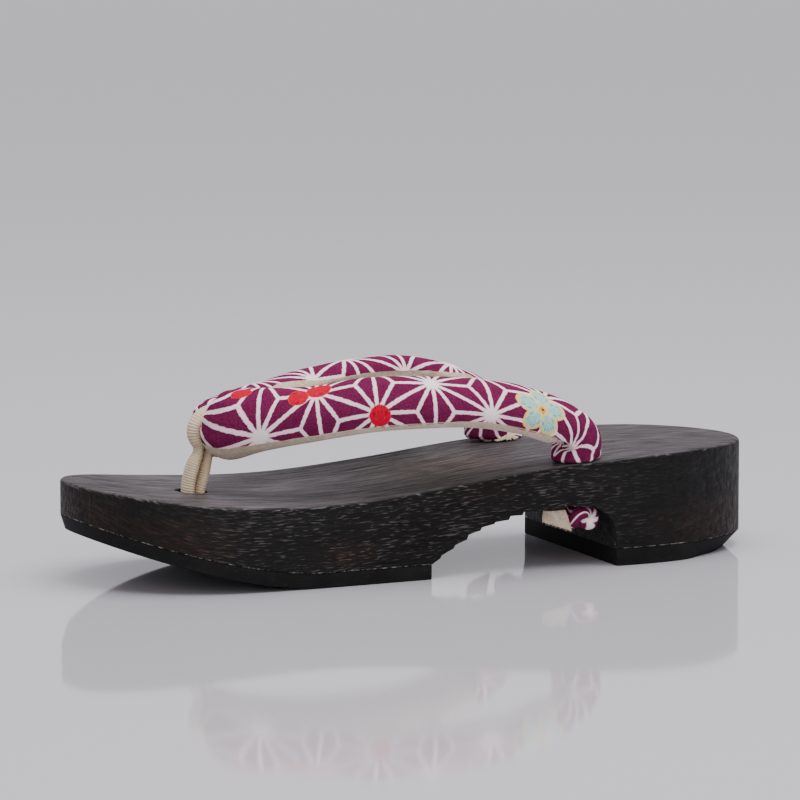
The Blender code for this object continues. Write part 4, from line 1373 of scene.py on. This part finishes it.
def charred_paulownia():
    """Paulownia, burnt black and brushed: the soft wood between the rings is scrubbed away, and the hard rings stand
    up in fine dashes with a dull silver shine. The block was then stained, and is worn brown where it is handled."""
    made, add = start_material("charred_paulownia", Specular_IOR_Level=0.15)
    flat = in_millimetres(add, add("TexCoord")["Object"])
    parts = add("SeparateXYZ", flat)
    facing = add("SeparateXYZ", add("TexCoord")["Normal"])["Z"]

    # Its rings, which sway and tremble round the pith
    sway = drawn_out(add, flat, SWAY_CELLS, Detail=2.0)
    sway = add("Math", sway, RING_SWAY, -RING_SWAY / 2, operation="MULTIPLY_ADD")[0]
    tremble = drawn_out(add, flat, TREMBLE_CELLS, Detail=3.0)
    tremble = add("Math", tremble, RING_TREMBLE, -RING_TREMBLE / 2, operation="MULTIPLY_ADD")[0]
    aside = add("Math", parts["Y"], -PITH_ASIDE, operation="ADD")[0]
    rise = add("Math", parts["X"], PITH_RISE, PITH_BELOW, operation="MULTIPLY_ADD")[0]
    above = add("Math", parts["Z"], rise, operation="ADD")[0]
    square = add("Math", aside, aside, operation="MULTIPLY")[0]
    square = add("Math", above, above, square, operation="MULTIPLY_ADD")[0]
    radius = joined(add, "ADD", (add("Math", square, operation="SQRT")[0], sway, tremble))
    rings = add("Math", radius, 1 / RING_SPACING, operation="MULTIPLY")[0]
    rings = add("Math", rings, operation="FRACT")[0]
    late = add("MapRange", rings, 0.55, 0.96, 0.0, 1.0, **SOFT)[0]

    # Dashes 2 to 8 mm long and 0.4 mm thick, which follow the rings, and pores within them
    around = add("Math", aside, above, operation="ARCTAN2")[0]
    dashed = add("CombineXYZ", parts["X"], radius, around)["Vector"]
    dashed = add("VectorMath", dashed, DASH_CELLS, operation="MULTIPLY")["Vector"]
    dash = add("TexNoise", dashed, Scale=1.0, Detail=1.5, Roughness=0.4)[0]
    pore = drawn_out(add, dashed, PORE_CELLS, Detail=2.0, Roughness=0.5)
    patch = drawn_out(add, flat, PATCH_CELLS, Detail=2.0)
    bare = add("Math", late, 0.03, dash, operation="MULTIPLY_ADD")[0]
    bare = add("Math", patch, 0.26, bare, operation="MULTIPLY_ADD")[0]
    shown = add("MapRange", bare, 0.73, 0.86, 0.0, 1.0)[0]

    # The deck is trodden: it shows long soft streaks and fine hairs, where the sides show the dashes. On the deck
    # their
    #     # lighter lines and swells are partly grain and partly painted highlight and painted shade on its brushed
    #     relief.
    swayed = add("Math", sway, 0.35, parts["Y"], operation="MULTIPLY_ADD")[0]
    streaks = add("CombineXYZ", parts["X"], swayed, parts["Z"])["Vector"]
    streaks = add("VectorMath", streaks, STREAK_CELLS, operation="MULTIPLY")["Vector"]
    streak = add("TexNoise", streaks, Scale=1.0, Detail=2.5, Roughness=0.62)[0]
    hair = drawn_out(add, streaks, HAIR_CELLS, Detail=2.0)
    swell = drawn_out(add, flat, SWELL_CELLS, Detail=5.0, Roughness=0.75)
    trodden = add("MapRange", facing, 0.45, 0.85, **SOFT)[0]
    grain = add("Mix", trodden, A_Float=dash, B_Float=streak)[0]

    warm = add("MapRange", grain, 0.38, 0.62, 0.35, 1.0)[0]
    brown = add("Math", worn_brown(add, flat), warm, operation="MULTIPLY")[0]
    char = add("Mix", pore, A_Color="#080707", B_Color="#151313", data_type="RGBA")[2]
    tint = add("Mix", grain, A_Color="#120c0b", B_Color="#2c1e19", data_type="RGBA")[2]
    char = add("Mix", brown, A_Color=char, B_Color=tint, data_type="RGBA")[2]

    # Grain and painted light together: the deck's colour follows the hairs as fine painted highlights, and the
    # swell's bump as painted highlight where it rises and painted shade where it sinks
    layers = ((streak, 0.34, 0.70, 0.0, 0.62), (hair, 0.45, 0.63, 0.0, 0.62), (swell, 0.36, 0.64, -0.3, 0.42))
    streaked = joined(add, "ADD", [add("MapRange", *layer)[0] for layer in layers])
    deck = add("Mix", streaked, A_Color="#131011", B_Color="#575053", data_type="RGBA")[2]
    warm_deck = add("Mix", streaked, A_Color="#160f0d", B_Color="#564840", data_type="RGBA")[2]
    deck = add("Mix", brown, A_Color=deck, B_Color=warm_deck, data_type="RGBA")[2]
    # Painted light: the deck's colour is scaled darker behind the ball and at the toe as painted shade, and brighter
    # under the ball as a painted highlight; the roughness below follows the same tone
    painted_light_tones = [add("MapRange", parts["X"], start, end, 1.0, tone)[0] for start, end, tone in DECK_PAINTED_LIGHT]
    tone = joined(add, "MULTIPLY", painted_light_tones)
    deck = add("VectorMath", deck, Scale=tone, operation="SCALE")["Vector"]
    char = add("Mix", trodden, A_Color=char, B_Color=deck, data_type="RGBA")[2]

    silver = add("Mix", brown, A_Color="#524e4f", B_Color="#6e5541", data_type="RGBA")[2]
    from_middle = add("Math", parts["X"], -GRAIN_MIDDLE, operation="ADD")[0]
    from_middle = add("Math", from_middle, operation="ABSOLUTE")[0]
    calm = add("MapRange", from_middle, *GRAIN_FADE, 0.8, 0.14)[0]
    level = add("Math", facing, operation="ABSOLUTE")[0]
    sides = add("MapRange", level, 0.45, 0.85, 1.0, 0.12)[0]
    strong = joined(add, "MULTIPLY", (shown, calm, sides))
    colour = add("Mix", strong, A_Color=char, B_Color=silver, data_type="RGBA")[2]

    # Rims rubbed pale, partly wear and partly a painted highlight along the rounded edge, and dust caught in the glue
    # line
    rim = add("Attribute", attribute_name="rim")["Fac"]
    heelward = add("MapRange", parts["X"], -62.0, -20.0, 0.14, 0.05)[0]
    rubbed_and_highlit = add("Math", dash, heelward, operation="SUBTRACT")[0]
    rubbed_and_highlit = add("MapRange", rubbed_and_highlit, 0.5, 0.56, 0.0, 0.36)[0]
    rubbed_and_highlit = add("Math", rubbed_and_highlit, rim, operation="MULTIPLY")[0]
    colour = add("Mix", rubbed_and_highlit, A_Color=colour, B_Color="#7c7776", data_type="RGBA")[2]
    joint = add("Attribute", attribute_name="joint")["Fac"]
    specks = add("TexNoise", flat, Scale=0.55, Detail=4.0, Roughness=0.7)[0]
    dusty = add("MapRange", specks, 0.49, 0.62, 0.0, 0.9)[0]
    dusty = add("Math", dusty, joint, operation="MULTIPLY")[0]
    colour = add("Mix", dusty, A_Color=colour, B_Color="#b3aca6", data_type="RGBA")[2]

    rough = add("MapRange", streak, 0.32, 0.68, 0.68, 0.34)[0]
    dull = add("Math", tone, -0.8, 1.8, operation="MULTIPLY_ADD")[0]
    rough = add("Math", rough, dull, operation="MULTIPLY")[0]
    deep = add("MapRange", from_middle, *GRAIN_FADE, 0.85, 0.35)[0]
    fine = ((0.6, 0.00015, pore), (0.7, 0.00012, hair))
    reliefs = ((0.6, 0.00035, late), (deep, 0.0004, grain), *fine, (0.9, 0.0013, swell))
    return finish_material(made, add, colour, *reliefs, rough=rough)


def cut_rubber():
    """Black rubber sheet, cut to the outline and glued on. It is flat and dull, with a faint pebble of about 1 mm
    and a little grey dust rubbed into it."""
    made, add = start_material("cut_rubber_sheet", Specular_IOR_Level=0.16)
    flat = in_millimetres(add, add("TexCoord")["Object"])
    cloud = add("TexNoise", flat, Scale=0.09, Detail=5.0, Roughness=0.6)[0]
    grit = add("TexNoise", flat, Scale=1.1, Detail=3.0, Roughness=0.6)[0]
    worn = add("MapRange", cloud, 0.4, 0.68)[0]
    colour = add("Mix", worn, A_Color="#0d0c0d", B_Color="#1b1a1a", data_type="RGBA")[2]
    speck = add("MapRange", grit, 0.6, 0.72, 0.0, 0.5)[0]
    colour = add("Mix", speck, A_Color=colour, B_Color="#333132", data_type="RGBA")[2]
    rough = add("MapRange", cloud, 0.3, 0.7, 0.66, 0.84)[0]
    return finish_material(made, add, colour, (0.5, 0.00012, grit), rough=rough)


def brushed_cotton():
    """Unbleached cotton flannel with a raised nap. It is soft and quite without shine, its fibres lie in tufts about
    a millimetre across, and a browner dust lies over it in broad patches."""
    sheen = {"Sheen_Weight": 0.35, "Sheen_Roughness": 0.6}
    made, add = start_material("brushed_cotton_lining", Roughness=0.95, Specular_IOR_Level=0.15, **sheen)
    flat = in_millimetres(add, add("TexCoord")["Object"])
    tuft = add("TexNoise", flat, Scale=0.95, Detail=4.0, Roughness=0.65)[0]
    cloud = add("TexNoise", flat, Scale=0.16, Detail=3.0)[0]
    fibre = drawn_out(add, flat, (0.9, 3.6, 3.6), Detail=2.0)
    base = add("Mix", cloud, A_Color="#b59d80", B_Color="#dcccb4", data_type="RGBA")[2]
    # Painted shade: the cloth is darker in the hollows between the tufts, where their bump is low
    hollow_shade = add("MapRange", tuft, 0.32, 0.62, 0.74, 1.08)[0]
    colour = add("VectorMath", base, Scale=hollow_shade, operation="SCALE")["Vector"]
    return finish_material(made, add, colour, (0.8, 0.00035, tuft), (0.5, 0.0001, fibre))


def ribbed_cord():
    """Cotton cord cloth, woven with a rib across it every 0.8 mm, which its shape already has. Each rib is painted a
    little lighter as a painted highlight, and the hollows between are painted darker as painted shade."""
    sheen = {"Sheen_Weight": 0.25, "Sheen_Roughness": 0.5}
    made, add = start_material("ribbed_cotton_cord", Roughness=0.88, Specular_IOR_Level=0.2, **sheen)
    flat = in_millimetres(add, add("TexCoord")["Object"])
    cloud = add("TexNoise", flat, Scale=0.3, Detail=4.0, Roughness=0.6)[0]
    thread = add("TexNoise", flat, Scale=2.4, Detail=2.0)[0]
    base = add("Mix", cloud, A_Color="#cbb08a", B_Color="#f0dfc4", data_type="RGBA")[2]
    groove = add("Attribute", attribute_name="groove")["Fac"]
    # Painted light: the grooves between the ribs are darkened as painted shade and the crests lightened a little as a
    # painted highlight
    dark = add("Math", groove, -0.15, 1.02, operation="MULTIPLY_ADD")[0]
    fleck = add("MapRange", thread, 0.35, 0.62, 0.86, 1.05)[0]
    dark = add("Math", dark, fleck, operation="MULTIPLY")[0]
    colour = add("VectorMath", base, Scale=dark, operation="SCALE")["Vector"]
    return finish_material(made, add, colour, (0.5, 0.00015, thread))


def paint(piece, name, amount):
    """Writes a number for each point of a piece, which its material reads."""
    layer = piece.data.attributes.new(name, "FLOAT", "POINT")
    for vert, value in zip(piece.data.vertices, layer.data):
        value.value = amount(vert.co)


# The part of the deck's rounded rim that is rubbed pale and carries a painted highlight, as shares of its height, and
# how near the glue line dust is caught
RIM_FROM = 0.08
RIM_TO = 0.75
JOINT_UP = 0.0003
JOINT_BESIDE = 0.001
JOINT_ENDS = 0.004


def rim_amount(co):
    """Full on the middle of the deck's rounded rim."""
    share = (deck_height(co.x) - co.z) / EDGE_ROUND
    return 1.0 if RIM_FROM < share < RIM_TO else 0.0


def joint_amount(co):
    """Full along the board's lowest edge, where the rubber is glued on."""
    up = co.z - board_underside(co.x)
    beside = abs(abs(co.y) - half_width(co.x)) < JOINT_BESIDE or abs(co.x) > LENGTH / 2 - JOINT_ENDS
    return 1.0 if up < JOINT_UP and beside else 0.0


# The photograph's camera
CAMERA_PLACE = Vector((0.720770, 1.691726, 0.305541))
CAMERA_RIGHT = Vector((-0.920411, 0.390950, -0.000799))
CAMERA_UP = Vector((-0.053701, -0.124402, 0.990778))
CAMERA_FORWARD = Vector((-0.387245, -0.911966, -0.135495))
CAMERA_LENS = 251.9


def make_camera():
    data = bpy.data.cameras.new("camera")
    data.sensor_width = 36
    data.lens = CAMERA_LENS
    data.clip_start = 0.1
    data.clip_end = 50
    camera = bpy.data.objects.new("camera", data)
    bpy.context.scene.collection.objects.link(camera)
    turn = Matrix((CAMERA_RIGHT, CAMERA_UP, -CAMERA_FORWARD)).transposed()
    camera.matrix_world = Matrix.Translation(CAMERA_PLACE) @ turn.to_4x4()
    bpy.context.scene.camera = camera


def area_light(name, place, aim, size, watts, colour):
    data = bpy.data.lights.new(name, "AREA")
    data.shape = "RECTANGLE"
    data.size, data.size_y = size
    data.energy = watts
    data.color = linear(colour)[:3]
    lamp = bpy.data.objects.new(name, data)
    bpy.context.scene.collection.objects.link(lamp)
    lamp.location = place
    lamp.rotation_euler = (Vector(aim) - Vector(place)).to_track_quat("-Z", "Y").to_euler()


# Each lamp's name, place, aim, size, watts and colour
LAMPS = (
    ("overhead", (-0.1, 0.2, 1.3), (0, 0, 0), (1.2, 1.2), 24, "#ffffff"),
    ("left_fill", (0.5, 1.5, 0.7), (0, 0, 0.04), (1.2, 0.8), 6, "#fff6ee"),
)


def make_studio():
    world = bpy.data.worlds.new("studio")
    bpy.context.scene.world = world
    world.use_nodes = True
    background = world.node_tree.nodes["Background"].inputs
    background["Color"].default_value = linear("#c4c3c9")
    background["Strength"].default_value = 1.31
    bpy.ops.mesh.primitive_plane_add(size=12, location=(0, 0, 0))
    floor = bpy.context.object
    floor.name = "floor"
    gloss = {"Roughness": 0.06, "Specular_IOR_Level": 0.6}
    floor.data.materials.append(start_material("glossy_board", Base_Color=linear("#c4c1c7"), **gloss)[0])
    for lamp in LAMPS:
        area_light(*lamp)


def dress(piece, finish, node):
    """Gives the piece its material, and puts it in the place of a solid."""
    piece.data.materials.clear()
    piece.data.materials.append(finish)
    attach(piece, "root")
    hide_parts(node)


make_camera()
make_studio()
wood = charred_paulownia()
rubber = cut_rubber()
cloth = printed_crepe()
lining_cloth = brushed_cotton()
cord_cloth = ribbed_cord()

board = make_board()
paint(board, "rim", rim_amount)
paint(board, "joint", joint_amount)
dress(board, wood, "board")
front, heel = make_treads()
dress(front, rubber, "front_tread")
dress(heel, rubber, "heel_tread")
strap, lining = make_strap()
dress(strap, cloth, "straps")
dress(lining, lining_cloth, "strap_lining")
loop = make_loop()
dress(loop, cord_cloth, "toe_loop")
toe_knot, ends = make_ends()
dress(toe_knot, cord_cloth, "toe_knot")
for hand, knot, tail in ends:
    dress(knot, cloth, hand + "_knot")
    dress(tail, lining_cloth, hand + "_tail")
